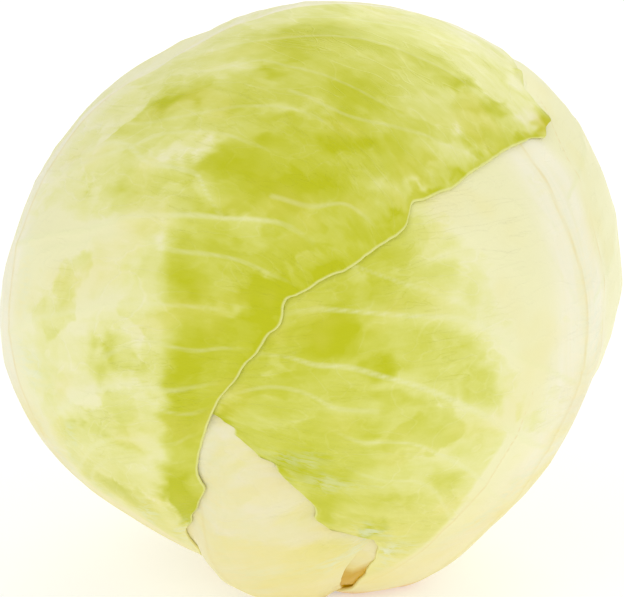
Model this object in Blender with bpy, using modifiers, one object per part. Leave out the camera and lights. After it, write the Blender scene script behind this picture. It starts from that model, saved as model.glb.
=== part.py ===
"""Head of cabbage: a cut stem with its core, a dense heart, and eight wrapper leaves laid over it.

Lengths in the constants are millimetres and angles are degrees. The stem's cut lies at z = 0.

Every surface is a distance from the head's centre, given for a direction. A leaf has its own
two angles: alpha runs along its midrib, from 0 under the head through 90 at the side to 180 at
the top, and beta runs across it. The leaves are laid from the outside in. Each one lies against
the shape of the head, sunk by the leaves that cover it.
"""

import math

import bmesh
import bpy
import numpy as np
from mathutils import Vector

MM = 0.001

# The closed head
HEAD_CENTRE = np.array((-2.0, 0.0, 84.0))
HALF_WIDTH = 88.5
HALF_DEPTH = 87.0
HEIGHT_ABOVE_CENTRE = 84.2
HEIGHT_BELOW_CENTRE = 85.0
CENTRING_HEIGHT = 25.0

# Broad swells and hollows: azimuth, angle up from the bottom, height, reach
SWELLS = (
    (97, 132, 4.0, 32),
    (75, 64, -6.5, 19),
    (-56, 40, -5.0, 20),
    (-82, 82, 2.2, 18),
    (-98, 116, -1.6, 18),
    (-95, 150, -4.2, 17),
    (10, 27, 1.2, 22),
    (-34, 42, 1.5, 13),
    (60, 44, -4.6, 17),
)

# Leaves
BLADE = 1.0
EDGE_BLADE = 0.8
LEAF_GAP = 1.2
COVER_FADE = 28.0
LEAF_CLEAR_OF_FLOOR = 0.5
MM_PER_DEGREE = 1.48
BASE_ANGLE = 16.5
BASE_HALF_ARC = 60.0
ROWS_AHEAD_AT_EDGE = 0.07
LATERAL_RIBS = 10
LATERAL_RIB_HEIGHT = 0.6
EDGE_WAVES = 8
EDGE_WAVE_HEIGHT = 0.9
HIDDEN_RIB = 1.3

# Where the heights and half widths of a midrib are given, as alpha
RIB_STATIONS = (15, 55, 100, 150, 200)

# Stem
STEM_STEPS = 48
CORE_CLEARANCE = 0.5
# Radius and height, from the top of the core down to the cut
STEM_PROFILE = (
    (3.5, 66.0),
    (8.0, 60.0),
    (13.0, 42.0),
    (17.0, 21.5),
    (18.8, 17.0),
    (20.3, 12.0),
    (21.8, 7.0),
    (23.0, 3.0),
    (23.0, 0.0),
)

# Heart
HEART_SEGMENTS = 40
HEART_RINGS = 22
HEART_CLEARANCE = 0.6


def corner(side):
    """The leaf's angles where its edge meets the stem."""
    base = math.radians(BASE_ANGLE)
    half_arc = math.radians(BASE_HALF_ARC)
    beta = math.asin(math.sin(base) * math.sin(half_arc))
    alpha = math.atan2(math.sin(base) * math.cos(half_arc), math.cos(base))
    return math.degrees(alpha), side * math.degrees(beta)


def rounded_edge(side, widest, tip, phase):
    """One edge of a leaf that has no mark of its own: a rounded outline with a slow wave."""
    start_alpha, start_beta = corner(side)
    edge = []
    for step in range(19):
        along = step / 18
        swell = math.sin(math.pi * along**0.82) ** 0.85 if 0 < step < 18 else 0.0
        beta = abs(start_beta) * (1 - 0.45 * along) + (widest - 14) * swell
        beta += 1.6 * math.sin(11 * along + phase) * swell
        edge.append((start_alpha + (tip - start_alpha) * along, side * beta))
    return edge


LEAVES = (
    {
        "name": "leaf_1",
        "azimuth": -76,
        "rows": 34,
        "columns": 18,
        "right": (
            corner(1), (20, 14), (28, 17), (36, 24), (43, 34), (51, 45), (56, 50), (63.5, 51), (70, 54), (80, 57),
            (89, 60), (98, 63), (116, 65), (132, 65), (149, 67.5), (160, 67), (171, 65), (180, 63), (190, 58.5),
            (196, 55.5), (203, 53), (211, 45), (220, 36), (227, 27), (220, 20), (218, 10),
        ),
        "left": (
            corner(-1), (20, -18), (30, -26), (45, -38), (60, -50), (80, -57), (100, -63), (125, -66),
            (150, -65), (175, -60), (195, -51), (210, -37), (218, -22),
        ),
        "rib_heights": (2.5, 2.0, 0.9, 0.8, 0.3),
        "rib_half_widths": (14, 12, 9, 7, 5),
        "phase": 0.4,
        "colour": (0.53, 0.56, 0.12),
    },
    {
        "name": "leaf_2",
        "azimuth": 57,
        "rows": 32,
        "columns": 18,
        "right": rounded_edge(1, 66, 204, 0.9),
        "left": (
            corner(-1), (20, -20), (26, -23), (32, -26), (38, -29), (43, -32), (49, -37), (48, -41), (45, -45),
            (51, -52), (56, -56), (60, -59), (64, -67), (70, -71), (80, -74), (100, -74), (125, -73),
            (150, -69), (172, -60), (188, -46), (199, -28), (204, -10),
        ),
        "rib_heights": (4.5, 3.8, 2.0, 0.9, 0.3),
        "rib_half_widths": (20, 17, 10, 7, 5),
        "phase": 1.7,
        "colour": (0.66, 0.67, 0.26),
    },
    {
        "name": "leaf_3",
        "azimuth": 199,
        "rows": 26,
        "columns": 14,
        "right": rounded_edge(1, 68, 206, 2.2),
        "left": rounded_edge(-1, 66, 206, 0.3),
        "rib_heights": (4.5, 4.0, 1.8, 0.9, 0.3),
        "rib_half_widths": (19, 15, 9, 7, 5),
        "phase": 3.1,
        "colour": (0.60, 0.62, 0.20),
    },
    {
        "name": "leaf_4",
        "azimuth": -24,
        "rows": 26,
        "columns": 14,
        "right": (
            corner(1), (20, 18), (28, 25), (33, 24), (38, 21), (45, 24), (49, 27), (53, 31), (62, 41), (78, 52),
            (100, 59), (130, 60), (160, 52), (182, 36), (194, 16), (196, 8),
        ),
        "left": rounded_edge(-1, 62, 196, 1.5),
        "rib_heights": (5.0, 4.8, 1.6, 0.8, 0.3),
        "rib_half_widths": (22, 19, 9, 7, 5),
        "phase": 4.4,
        "colour": (0.80, 0.76, 0.42),
    },
    {
        "name": "leaf_5",
        "azimuth": 112,
        "rows": 20,
        "columns": 10,
        "right": rounded_edge(1, 58, 190, 0.0),
        "left": rounded_edge(-1, 60, 190, 2.4),
        "rib_heights": (4.0, 3.2, 1.4, 0.8, 0.3),
        "rib_half_widths": (19, 15, 9, 7, 5),
        "phase": 0.9,
        "colour": (0.72, 0.71, 0.33),
    },
    {
        "name": "leaf_6",
        "azimuth": -110,
        "rows": 20,
        "columns": 10,
        "right": rounded_edge(1, 60, 188, 1.1),
        "left": rounded_edge(-1, 57, 188, 3.0),
        "rib_heights": (4.0, 3.2, 1.4, 0.8, 0.3),
        "rib_half_widths": (19, 15, 9, 7, 5),
        "phase": 2.0,
        "colour": (0.74, 0.73, 0.36),
    },
    {
        "name": "leaf_7",
        "azimuth": 25,
        "rows": 20,
        "columns": 10,
        "right": rounded_edge(1, 56, 182, 1.9),
        "left": rounded_edge(-1, 58, 182, 0.6),
        "rib_heights": (4.0, 3.0, 1.2, 0.8, 0.3),
        "rib_half_widths": (19, 15, 9, 7, 5),
        "phase": 5.2,
        "colour": (0.80, 0.78, 0.46),
    },
    {
        "name": "leaf_8",
        "azimuth": 165,
        "rows": 20,
        "columns": 10,
        "right": rounded_edge(1, 57, 180, 2.8),
        "left": rounded_edge(-1, 55, 180, 1.3),
        "rib_heights": (4.0, 3.0, 1.2, 0.8, 0.3),
        "rib_half_widths": (19, 15, 9, 7, 5),
        "phase": 3.8,
        "colour": (0.82, 0.80, 0.50),
    },
)

STEM_COLOUR = (0.78, 0.66, 0.42)
HEART_COLOUR = (0.84, 0.82, 0.55)


def polar_direction(azimuth, up):
    """Unit vectors at an azimuth from the front and an angle up from the bottom."""
    a, p = np.radians(azimuth), np.radians(up)
    return np.stack((np.sin(p) * np.sin(a), -np.sin(p) * np.cos(a), -np.cos(p)), -1)


def leaf_axes(leaf):
    """Outward, sideways and upward unit vectors of a leaf's midrib plane."""
    a = math.radians(leaf["azimuth"])
    return np.array(((math.sin(a), -math.cos(a), 0), (math.cos(a), math.sin(a), 0), (0, 0, 1)))


def leaf_direction(leaf, alpha, beta):
    out, side, up = leaf_axes(leaf)
    a, b = np.radians(alpha)[..., None], np.radians(beta)[..., None]
    return np.cos(b) * (np.sin(a) * out - np.cos(a) * up) + np.sin(b) * side


def leaf_angles(leaf, direction):
    """Alpha and beta of directions, the reverse of leaf_direction."""
    out, side, up = leaf_axes(leaf)
    alpha = np.degrees(np.arctan2(direction @ out, -(direction @ up)))
    beta = np.degrees(np.arcsin(np.clip(direction @ side, -1, 1)))
    return np.where(alpha < -80, alpha + 360, alpha), beta


def head_distance(direction):
    """Distance from the centre to the closed head's surface."""
    half_height = np.where(direction[..., 2] > 0, HEIGHT_ABOVE_CENTRE, HEIGHT_BELOW_CENTRE)
    scaled = direction / np.stack(
        (np.full_like(half_height, HALF_WIDTH), np.full_like(half_height, HALF_DEPTH), half_height), -1
    )
    distance = 1 / np.linalg.norm(scaled, axis=-1)
    for azimuth, up, height, reach in SWELLS:
        away = np.degrees(np.arccos(np.clip(direction @ polar_direction(azimuth, up), -1, 1)))
        distance = distance + height * np.exp(-((away / reach) ** 2))
    return distance


def placed(direction, distance):
    """Points in metres, drawn over the stem's axis near the floor."""
    point = HEAD_CENTRE + direction * distance[..., None]
    point[..., 0] -= HEAD_CENTRE[0] * np.exp(-np.maximum(point[..., 2], 0) / CENTRING_HEIGHT)
    return point * MM


def along_edge(points, amount):
    """Alpha and beta at a share of the way along an edge given as points."""
    points = np.array(points, float)
    steps = np.abs(np.diff(points, axis=0)).sum(1)
    share = np.concatenate(((0,), np.cumsum(steps))) / steps.sum()
    return np.interp(amount, share, points[:, 0]), np.interp(amount, share, points[:, 1])


def leaf_sheet(leaf, along, across):
    """Alpha and beta over the leaf, along from 0 to 1 and across from -1 to 1.

    The rows run ahead toward the edges, as the ribs of the leaf do.
    """
    midrib = BASE_ANGLE + (0.5 * (leaf["right"][-1][0] + leaf["left"][-1][0]) - BASE_ANGLE) * along
    ahead = along + ROWS_AHEAD_AT_EDGE * np.sin(math.pi * along)
    right_alpha, right_beta = along_edge(leaf["right"], ahead)
    left_alpha, left_beta = along_edge(leaf["left"], ahead)
    edge_alpha = np.where(across > 0, right_alpha, left_alpha)
    edge_beta = np.where(across > 0, right_beta, left_beta)
    bend = np.abs(across) ** (1.3 + 1.15 * np.exp(-((along / 0.08) ** 2)))
    return midrib + (edge_alpha - midrib) * bend, edge_beta * np.abs(across)


def spread_flat(leaf, direction):
    """Plane coordinates in millimetres about the leaf's middle, true in distance from there."""
    middle = leaf_direction(leaf, np.array(115.0), np.array(0.0))
    sideways = leaf_axes(leaf)[1]
    forward = np.cross(sideways, middle)
    angle = np.degrees(np.arccos(np.clip(direction @ middle, -1, 1)))
    x, y = direction @ sideways, direction @ forward
    length = np.maximum(np.hypot(x, y), 1e-9)
    return np.stack((x / length, y / length), -1) * (angle * MM_PER_DEGREE)[..., None]


def outside_edge(leaf, direction):
    """Distance in millimetres outside the leaf's outline, and 0 inside it."""
    share = np.linspace(0, 1, 61)
    right = np.stack(along_edge(leaf["right"], share), -1)
    left = np.stack(along_edge(leaf["left"], share), -1)
    outline = np.concatenate((right, left[::-1]))
    outline = spread_flat(leaf, leaf_direction(leaf, outline[:, 0], outline[:, 1]))
    point = spread_flat(leaf, direction)[..., None, :]
    start, end = outline, np.roll(outline, -1, axis=0)
    run = end - start
    share = ((point - start) * run).sum(-1) / np.maximum((run**2).sum(-1), 1e-9)
    nearest = start + np.clip(share, 0, 1)[..., None] * run
    distance = np.linalg.norm(point - nearest, axis=-1).min(-1)
    above = (start[:, 1] > point[..., 1]) != (end[:, 1] > point[..., 1])
    rise = np.where(np.abs(run[:, 1]) < 1e-9, 1e-9, run[:, 1])
    crossing = start[:, 0] + (point[..., 1] - start[:, 1]) * run[:, 0] / rise
    inside = (above & (point[..., 0] < crossing)).sum(-1) % 2 == 1
    return np.where(inside, 0, distance)


def cover_of(leaf, direction):
    """1 under a leaf, falling to 0 over a short way outside its edge."""
    near = np.clip(1 - outside_edge(leaf, direction) / COVER_FADE, 0, 1)
    return near * near * (3 - 2 * near)


def midrib_height(leaf, direction):
    alpha, beta = leaf_angles(leaf, direction)
    height = np.interp(alpha, RIB_STATIONS, leaf["rib_heights"])
    half_width = np.interp(alpha, RIB_STATIONS, leaf["rib_half_widths"])
    return height * np.exp(-((beta * MM_PER_DEGREE / half_width) ** 2))


def leaf_layer(index, direction):
    """Outer and inner distance of a leaf, and how far it is bare of the leaves over it.

    With the index past the last leaf, the outer distance is the heart's.
    """
    outer = head_distance(direction)
    bare = np.ones(outer.shape)
    floor = np.full(outer.shape, 1e6)
    low = direction[..., 2] < -0.1
    floor[low] = (HEAD_CENTRE[2] - LEAF_CLEAR_OF_FLOOR) / -direction[..., 2][low]
    for number, leaf in enumerate(LEAVES):
        rib = midrib_height(leaf, direction)
        inner = outer - BLADE - np.minimum(rib, HIDDEN_RIB) * (1 - bare)
        if number == index:
            return np.minimum(outer + rib * bare, floor), inner, bare
        cover = cover_of(leaf, direction)
        outer = outer - (outer - inner + LEAF_GAP) * cover
        bare = bare * (1 - cover)
    return outer, outer, bare


def material(name, colour, roughness):
    made = bpy.data.materials.new(name)
    made.use_nodes = True
    shader = made.node_tree.nodes["Principled BSDF"]
    shader.inputs["Base Color"].default_value = (*colour, 1)
    shader.inputs["Roughness"].default_value = roughness
    shader.inputs["Metallic"].default_value = 0
    return made


def mesh_object(name, mesh, collection):
    made = bpy.data.objects.new(name, mesh)
    collection.objects.link(made)
    return made


def build_leaf(index, collection):
    """A leaf's outer face as a grid, split into triangles, and thickened inward by Solidify."""
    leaf = LEAVES[index]
    shell = bmesh.new()
    bmesh.ops.create_grid(shell, x_segments=leaf["columns"], y_segments=leaf["rows"], size=1)
    sheet = np.array([vertex.co for vertex in shell.verts])
    across, along = sheet[:, 0], (0.5 + 0.5 * sheet[:, 1]) ** 1.25
    across = np.sign(across) * np.abs(across) ** 1.15
    direction = leaf_direction(leaf, *leaf_sheet(leaf, along, across))
    outer, inner, bare = leaf_layer(index, direction)
    thickness = outer - inner
    thickness = thickness + (EDGE_BLADE - thickness) * np.abs(across) ** 10

    ribs = 0.5 + 0.5 * np.cos(2 * math.pi * LATERAL_RIBS * along)
    ribs = ribs * LATERAL_RIB_HEIGHT * np.sin(math.pi * np.abs(across)) * np.sin(math.pi * along)
    waves = 0.5 + 0.5 * np.sin(2 * math.pi * EDGE_WAVES * along + leaf["phase"] + np.sign(across))
    waves = waves * EDGE_WAVE_HEIGHT * np.abs(across) ** 5 * np.sin(math.pi * along) ** 0.5
    outer = outer + (ribs + waves) * bare

    for vertex, position in zip(shell.verts, placed(direction, outer)):
        vertex.co = position
    bmesh.ops.triangulate(shell, faces=shell.faces[:])
    shell.normal_update()
    centre = Vector(HEAD_CENTRE * MM)
    if sum(face.normal.dot(face.calc_center_median() - centre) for face in shell.faces) < 0:
        bmesh.ops.reverse_faces(shell, faces=shell.faces[:])

    mesh = bpy.data.meshes.new(leaf["name"])
    shell.to_mesh(mesh)
    shell.free()
    made = mesh_object(leaf["name"], mesh, collection)
    mesh.materials.append(material(leaf["name"], leaf["colour"], 0.5))

    thickest = float(thickness.max())
    group = made.vertex_groups.new(name="thickness")
    for number, value in enumerate(thickness):
        group.add([number], float(value) / thickest, "REPLACE")
    solidify = made.modifiers.new("blade", "SOLIDIFY")
    solidify.thickness = thickest * MM
    solidify.offset = -1
    solidify.vertex_group = group.name
    return made


def turned_solid(name, profile, collection):
    """A closed body turned about the z axis by Screw, from a profile that runs from the top down."""
    mesh = bpy.data.meshes.new(name)
    points = [(0.0, profile[0][1])] + list(profile) + [(0.0, profile[-1][1])]
    edges = [(number, number + 1) for number in range(len(points) - 1)]
    mesh.from_pydata([(radius * MM, 0.0, height * MM) for radius, height in points], edges, [])
    made = mesh_object(name, mesh, collection)
    screw = made.modifiers.new("turn", "SCREW")
    screw.steps = STEM_STEPS
    screw.render_steps = STEM_STEPS
    screw.use_merge_vertices = True
    screw.merge_threshold = 0.0001
    screw.use_smooth_shade = False
    return made


def build_heart(collection, cutters):
    """A ball drawn in to lie under the last leaf, with a socket for the core."""
    ball = bmesh.new()
    bmesh.ops.create_uvsphere(ball, u_segments=HEART_SEGMENTS, v_segments=HEART_RINGS, radius=1)
    direction = np.array([vertex.co for vertex in ball.verts])
    distance = leaf_layer(len(LEAVES), direction)[0] - HEART_CLEARANCE
    for vertex, position in zip(ball.verts, placed(direction, distance)):
        vertex.co = position
    bmesh.ops.triangulate(ball, faces=ball.faces[:])
    mesh = bpy.data.meshes.new("heart")
    ball.to_mesh(mesh)
    ball.free()
    made = mesh_object("heart", mesh, collection)
    mesh.materials.append(material("heart", HEART_COLOUR, 0.5))

    socket = [(radius + CORE_CLEARANCE, height) for radius, height in STEM_PROFILE]
    socket[0] = (socket[0][0], socket[0][1] + CORE_CLEARANCE)
    cutter = turned_solid("core_socket", socket, cutters)
    cutter.hide_render = True
    cutter.display_type = "WIRE"
    boolean = made.modifiers.new("socket", "BOOLEAN")
    boolean.operation = "DIFFERENCE"
    boolean.solver = "EXACT"
    boolean.object = cutter
    return made


def build():
    for old in list(bpy.data.objects):
        bpy.data.objects.remove(old, do_unlink=True)
    head = bpy.data.collections.new("cabbage_head")
    cutters = bpy.data.collections.new("cutters")
    for made in (head, cutters):
        bpy.context.scene.collection.children.link(made)

    stem = turned_solid("stem", STEM_PROFILE, head)
    stem.data.materials.append(material("stem", STEM_COLOUR, 0.6))
    build_heart(head, cutters)
    for index in range(len(LEAVES)):
        build_leaf(index, head)


build()
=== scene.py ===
"""Head of white cabbage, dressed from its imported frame: eight ribbed wrapper leaves and the cut stem.

Lengths are millimetres and angles are degrees until a mesh is made. Every leaf surface is a
distance from the head's centre for a direction. A leaf has its own two angles: alpha runs along
its midrib, from 0 under the head through 90 at the side to 180 at the top, and beta runs across.
"""

import math

import bpy
import numpy as np
from mathutils import Matrix, Vector


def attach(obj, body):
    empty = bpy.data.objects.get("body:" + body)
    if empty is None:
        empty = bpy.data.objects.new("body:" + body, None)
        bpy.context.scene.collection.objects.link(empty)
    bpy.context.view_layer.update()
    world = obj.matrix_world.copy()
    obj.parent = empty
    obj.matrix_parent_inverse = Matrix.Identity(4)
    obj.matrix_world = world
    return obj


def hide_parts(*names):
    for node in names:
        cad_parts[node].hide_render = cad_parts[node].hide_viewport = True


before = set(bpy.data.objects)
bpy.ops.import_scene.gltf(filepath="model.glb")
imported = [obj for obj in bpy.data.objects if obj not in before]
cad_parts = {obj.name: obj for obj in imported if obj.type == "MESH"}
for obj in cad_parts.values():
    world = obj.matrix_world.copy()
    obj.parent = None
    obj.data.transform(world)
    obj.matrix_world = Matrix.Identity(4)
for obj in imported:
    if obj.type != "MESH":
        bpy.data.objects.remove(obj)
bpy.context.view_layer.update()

MM = 0.001
BATCH = 6000  # points worked on at a time, to keep arrays small

# The closed head
HEAD_CENTRE = np.array((-2.0, 0.0, 84.0))
HALF_WIDTH = 88.5
HALF_DEPTH = 87.0
HEIGHT_ABOVE_CENTRE = 84.2
HEIGHT_BELOW_CENTRE = 85.0
CENTRING_HEIGHT = 25.0

# Broad swells and hollows: azimuth, angle up from the bottom, height, reach
SWELLS = (
    (97, 132, 4.0, 32),
    (75, 64, -6.5, 19),
    (-56, 40, -5.0, 20),
    (-82, 82, 2.2, 18),
    (-98, 116, -1.6, 18),
    (-95, 150, -4.2, 17),
    (10, 27, 1.2, 22),
    (-34, 42, 1.5, 13),
    (60, 44, -4.6, 17),
)

# Leaves: lengths in millimetres, angles in degrees
BLADE = 0.9
LAYER_GAP = 0.25
COVER_FADE = 18.0
SHORT_FADES = {3: 9.0, 6: 6.0}
PRINT_FADE = 6.0
LEAF_CLEAR_OF_FLOOR = 0.5
HEAD_RADIUS = 85.0
MM_PER_DEGREE = 1.48
BASE_ANGLE = 16.5
BASE_HALF_ARC = 60.0
ROWS_AHEAD_AT_EDGE = 0.07
EDGE_ROUNDING = 0.45
RIB_STATIONS = (15, 55, 100, 150, 200)
RIB_OUT_OF_REACH = 12.0
EDGE_POINTS = 700
OUTLINE_POINTS = 130
PLAIN_EDGE_POINTS = 19
SIDE_RIB_POINTS = 12


def corner(side):
    """Alpha and beta where a leaf's edge meets the stem: the direction at the base angle from the bottom,
    turned by the base's half arc from the midrib, as an arctangent and an arcsine."""
    base = math.radians(BASE_ANGLE)
    half_arc = math.radians(BASE_HALF_ARC)
    beta = math.asin(math.sin(base) * math.sin(half_arc))
    alpha = math.atan2(math.sin(base) * math.cos(half_arc), math.cos(base))
    return math.degrees(alpha), side * math.degrees(beta)


def rounded_edge(side, widest, tip, phase):
    """One edge of a leaf that the photograph doesn't show: a half sine of the way along, with a slow wave."""
    start_alpha, start_beta = corner(side)
    edge = []
    for step in range(PLAIN_EDGE_POINTS):
        along = step / (PLAIN_EDGE_POINTS - 1)
        swell = math.sin(math.pi * along**0.82) ** 0.85 if 0 < along < 1 else 0.0
        beta = abs(start_beta) * (1 - 0.45 * along) + (widest - 14) * swell
        beta += 1.6 * math.sin(11 * along + phase) * swell
        edge.append((start_alpha + (tip - start_alpha) * along, side * beta))
    return edge


def hidden_leaf(number, azimuth, grid, phase, dip, right, left, rib_heights):
    """A leaf of which the photograph shows little or nothing, with both edges as widest place, tip and phase
    of rounded_edge."""
    return {
        "name": f"leaf_{number}", "azimuth": azimuth, "grid": grid, "phase": phase, "print": dip,
        "right": rounded_edge(1, *right), "left": rounded_edge(-1, *left), "ragged": (0.6, 0.6),
        "rib_heights": (*rib_heights, 0.8, 0.3), "rib_half_widths": (19, 15, 9, 7, 5),
    }


# Edges that the photograph shows, as alpha and beta from the stem to the tip
LEAF_1_RIGHT = (
    corner(1), (20, 14), (26, 18), (32, 23), (37.5, 29.8), (40.8, 31.9), (43.4, 33.8), (45.3, 36.6),
    (46.9, 39.5), (48.4, 40.7), (50.6, 44.3), (52.5, 46.1), (54, 47.9), (56, 49.4), (57.8, 49.5),
    (60, 49.7), (62.5, 50.6), (67.5, 52.5), (72.9, 54.8), (77.5, 56.6), (82, 58.2), (84.5, 58.9),
    (86.7, 59.8), (89.1, 60.9), (93.3, 62.5), (98.9, 63.7), (104.4, 65.2), (109.8, 65.8), (115.2, 66.1),
    (117.9, 66.7), (120.5, 67.1), (123.9, 66.9), (128.5, 65.9), (131.8, 65.7), (135.2, 66.5), (138, 66.8),
    (142.7, 67.1), (153.1, 67.4), (161.3, 67.6), (167.2, 67), (172.4, 66), (180.8, 64.5), (185.5, 63.2),
    (188.9, 61.5), (189.8, 59.5), (190.4, 57.9), (194.5, 56.5), (199.5, 54.4), (203.2, 52.9),
    (205.6, 51.2), (207.8, 48.9), (210.3, 46.6), (212.6, 44.1), (217.3, 38.5), (220, 35.4), (222.2, 32.5),
    (224, 31.3), (225.5, 29.8), (224.8, 28.2), (225.4, 25.4), (225.2, 23.8), (223.4, 24), (221.2, 22.8),
    (219.6, 21.2), (219.1, 18), (219.2, 12.8), (218.6, 7),
)
LEAF_1_LEFT = (
    corner(-1), (20, -18), (30, -26), (45, -38), (60, -50), (80, -57), (100, -63), (125, -66), (150, -65),
    (175, -60), (195, -51), (210, -37), (218, -22),
)
LEAF_2_LEFT = (
    corner(-1), (21.4, -19), (25.8, -22.9), (28.7, -24.7), (31.5, -26.1), (33.8, -27.7), (36.2, -28.9),
    (38.6, -29.5), (40.3, -30.4), (41.8, -31.4), (43, -31.8), (44.3, -32.9), (45.4, -34.4), (46.9, -35.9),
    (48.1, -37), (48, -39.1), (46.8, -40.7), (45.4, -42.6), (44.4, -43.8), (45.2, -46), (46, -48.2),
    (47.2, -48.6), (48.5, -48.8), (49.9, -49.8), (51.2, -51.2), (52.7, -54.2), (53.9, -56.2),
    (56.1, -58.7), (56.9, -59.7), (58.8, -60.4), (59.7, -61.5), (59.6, -62.7), (59, -63.8), (59.7, -64.8),
    (60.8, -66.4), (62, -68), (62.4, -69.2), (64.9, -69.7), (66.6, -70.4), (66.7, -71.5), (67.6, -72.8),
    (68, -75), (71, -78), (80, -81), (103, -82.4), (125, -81.8), (140, -80), (155, -76.8), (164, -74),
    (169.5, -70), (175, -64.5), (181, -57), (189, -46), (198, -30), (203, -12),
)
LEAF_4_RIGHT = (
    corner(1), (21, 14.3), (24.5, 15.1), (28.5, 16.5), (34.1, 18.7), (37.7, 20.3), (41, 22.2),
    (43.4, 23.9), (45, 25.3), (46.6, 27.4), (48.5, 29.6), (52, 33), (62, 41), (78, 52), (100, 59),
    (130, 60), (160, 52), (182, 36), (194, 16), (196, 8),
)

# From the outermost inward: azimuth round the stem, grid rows and columns left and right of the midrib, how
# deep its edge prints through the leaves over it, how ragged each edge is, and the midrib at RIB_STATIONS
LEAVES = (
    {
        "name": "leaf_1", "azimuth": -76, "grid": (320, 68, 136), "phase": 0.4, "print": 0.0,
        "right": LEAF_1_RIGHT, "left": LEAF_1_LEFT, "ragged": (0.3, 0.8),
        "rib_heights": (2.5, 2.0, 0.9, 0.8, 0.3), "rib_half_widths": (14, 12, 9, 7, 5),
    },
    {
        "name": "leaf_2", "azimuth": 57, "grid": (310, 136, 76), "phase": 1.7, "print": 0.6,
        "right": rounded_edge(1, 66, 204, 0.9), "left": LEAF_2_LEFT, "ragged": (0.8, 0.45),
        "rib_heights": (4.5, 3.8, 2.0, 0.9, 0.3), "rib_half_widths": (20, 17, 10, 7, 5),
    },
    {
        "name": "leaf_3", "azimuth": 199, "grid": (190, 64, 64), "phase": 3.1, "print": 0.35,
        "right": rounded_edge(1, 68, 206, 2.2), "left": rounded_edge(-1, 66, 206, 0.3), "ragged": (0.8, 0.8),
        "rib_heights": (4.5, 4.0, 1.8, 0.9, 0.3), "rib_half_widths": (19, 15, 9, 7, 5),
    },
    {
        "name": "leaf_4", "azimuth": -24, "grid": (190, 64, 64), "phase": 4.4, "print": 0.2,
        "right": LEAF_4_RIGHT, "left": rounded_edge(-1, 62, 196, 1.5), "ragged": (0.25, 0.6),
        "rib_heights": (5.0, 4.8, 1.6, 0.8, 0.3), "rib_half_widths": (22, 19, 9, 7, 5),
    },
    hidden_leaf(5, 112, (120, 40, 40), 0.9, 0.2, (58, 190, 0.0), (60, 190, 2.4), (4.0, 3.2, 1.4)),
    hidden_leaf(6, -110, (80, 28, 28), 2.0, 0.2, (60, 188, 1.1), (57, 188, 3.0), (4.0, 3.2, 1.4)),
    hidden_leaf(7, 25, (80, 28, 28), 5.2, 0.15, (56, 182, 1.9), (58, 182, 0.6), (4.0, 3.0, 1.2)),
    hidden_leaf(8, 165, (80, 28, 28), 3.8, 0.15, (57, 180, 2.8), (55, 180, 1.3), (4.0, 3.0, 1.2)),
)

# Side ribs that the photograph shows, as alpha and beta from the midrib outward, with a strength
LEAF_1_RIBS = (
    (0.9, (64, 5), (72, 14), (78, 23), (82, 30), (85, 36), (87, 41), (87, 50), (89, 55), (91, 59)),
    (0.5, (85, 37), (85, 42), (84, 45), (81, 48), (80, 51), (80, 53), (82, 57)),
    (0.6, (58, 8), (65, 20), (71, 30), (73, 36), (73, 41), (71, 46), (71, 48), (73, 52), (74, 55)),
    (0.5, (52, 10), (60, 18), (65, 26), (67, 32), (66, 35), (65, 38), (66, 44), (65, 51)),
    (0.6, (88, 4), (94, 16), (100, 29), (104, 36), (107, 42), (110, 48), (114, 55), (117, 60)),
    (0.5, (92, 36), (97, 42), (99, 46), (100, 54), (104, 60), (106, 64)),
    (1.0, (104, 2), (110, 14), (115, 24), (124, 34), (128, 39), (131, 42), (137, 48), (143, 52), (149, 56),
     (153, 61)),
    (0.9, (127, 12), (133, 21), (133, 26), (137, 34), (139, 38), (138, 41), (137, 45), (137, 48)),
    (0.6, (107, 14), (112, 24), (120, 36), (121, 41), (123, 45), (127, 50), (131, 55), (134, 60), (138, 65)),
    (0.6, (118, 3), (122, 10), (127, 16), (133, 21), (138, 24), (145, 30), (150, 35), (154, 40), (157, 43)),
    (0.4, (128, 4), (134, 12), (140, 21), (147, 26), (155, 30), (164, 35), (168, 38), (176, 47)),
    (0.4, (140, 4), (148, 10), (156, 18), (164, 20), (168, 24), (172, 27), (182, 35), (192, 42)),
    (0.4, (166, 31), (177, 40), (189, 43), (196, 44), (204, 45), (212, 44)),
    (0.5, (150, 50), (158, 55), (169, 57), (174, 60), (177, 62)),
    (0.4, (150, 3), (158, 10), (169, 14), (179, 17), (190, 21), (201, 26), (213, 33)),
    (0.35, (166, 2), (177, 7), (190, 11), (203, 15), (216, 19)),
)
LEAF_2_RIBS = (
    (0.9, (84, -4), (88, -11), (92, -18), (96, -22), (100, -26), (103, -31), (106, -39), (109, -45),
     (115, -55), (118, -62)),
    (0.5, (99, -25), (103, -27), (107, -31), (114, -39), (120, -44), (127, -49)),
    (1.0, (70, -4), (74, -13), (79, -21), (82, -26), (87, -34), (91, -41), (93, -45), (97, -52),
     (98, -56), (102, -61), (105, -66)),
    (0.8, (56, -6), (62, -16), (69, -25), (72, -30), (74, -34), (76, -39), (76, -44), (75, -47), (78, -54)),
    (0.5, (84, -46), (85, -54), (87, -56), (90, -60), (91, -64), (89, -68), (84, -72)),
    (0.5, (50, -16), (55, -22), (60, -27), (64, -31), (66, -36), (65, -42), (67, -50)),
    (0.4, (98, -3), (104, -6), (109, -8), (114, -9), (120, -11), (126, -15), (134, -22)),
    (0.4, (106, -14), (116, -22), (121, -25), (130, -34), (140, -42)),
    (0.4, (112, -4), (124, -10), (136, -16), (148, -24), (160, -34)),
)

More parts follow.
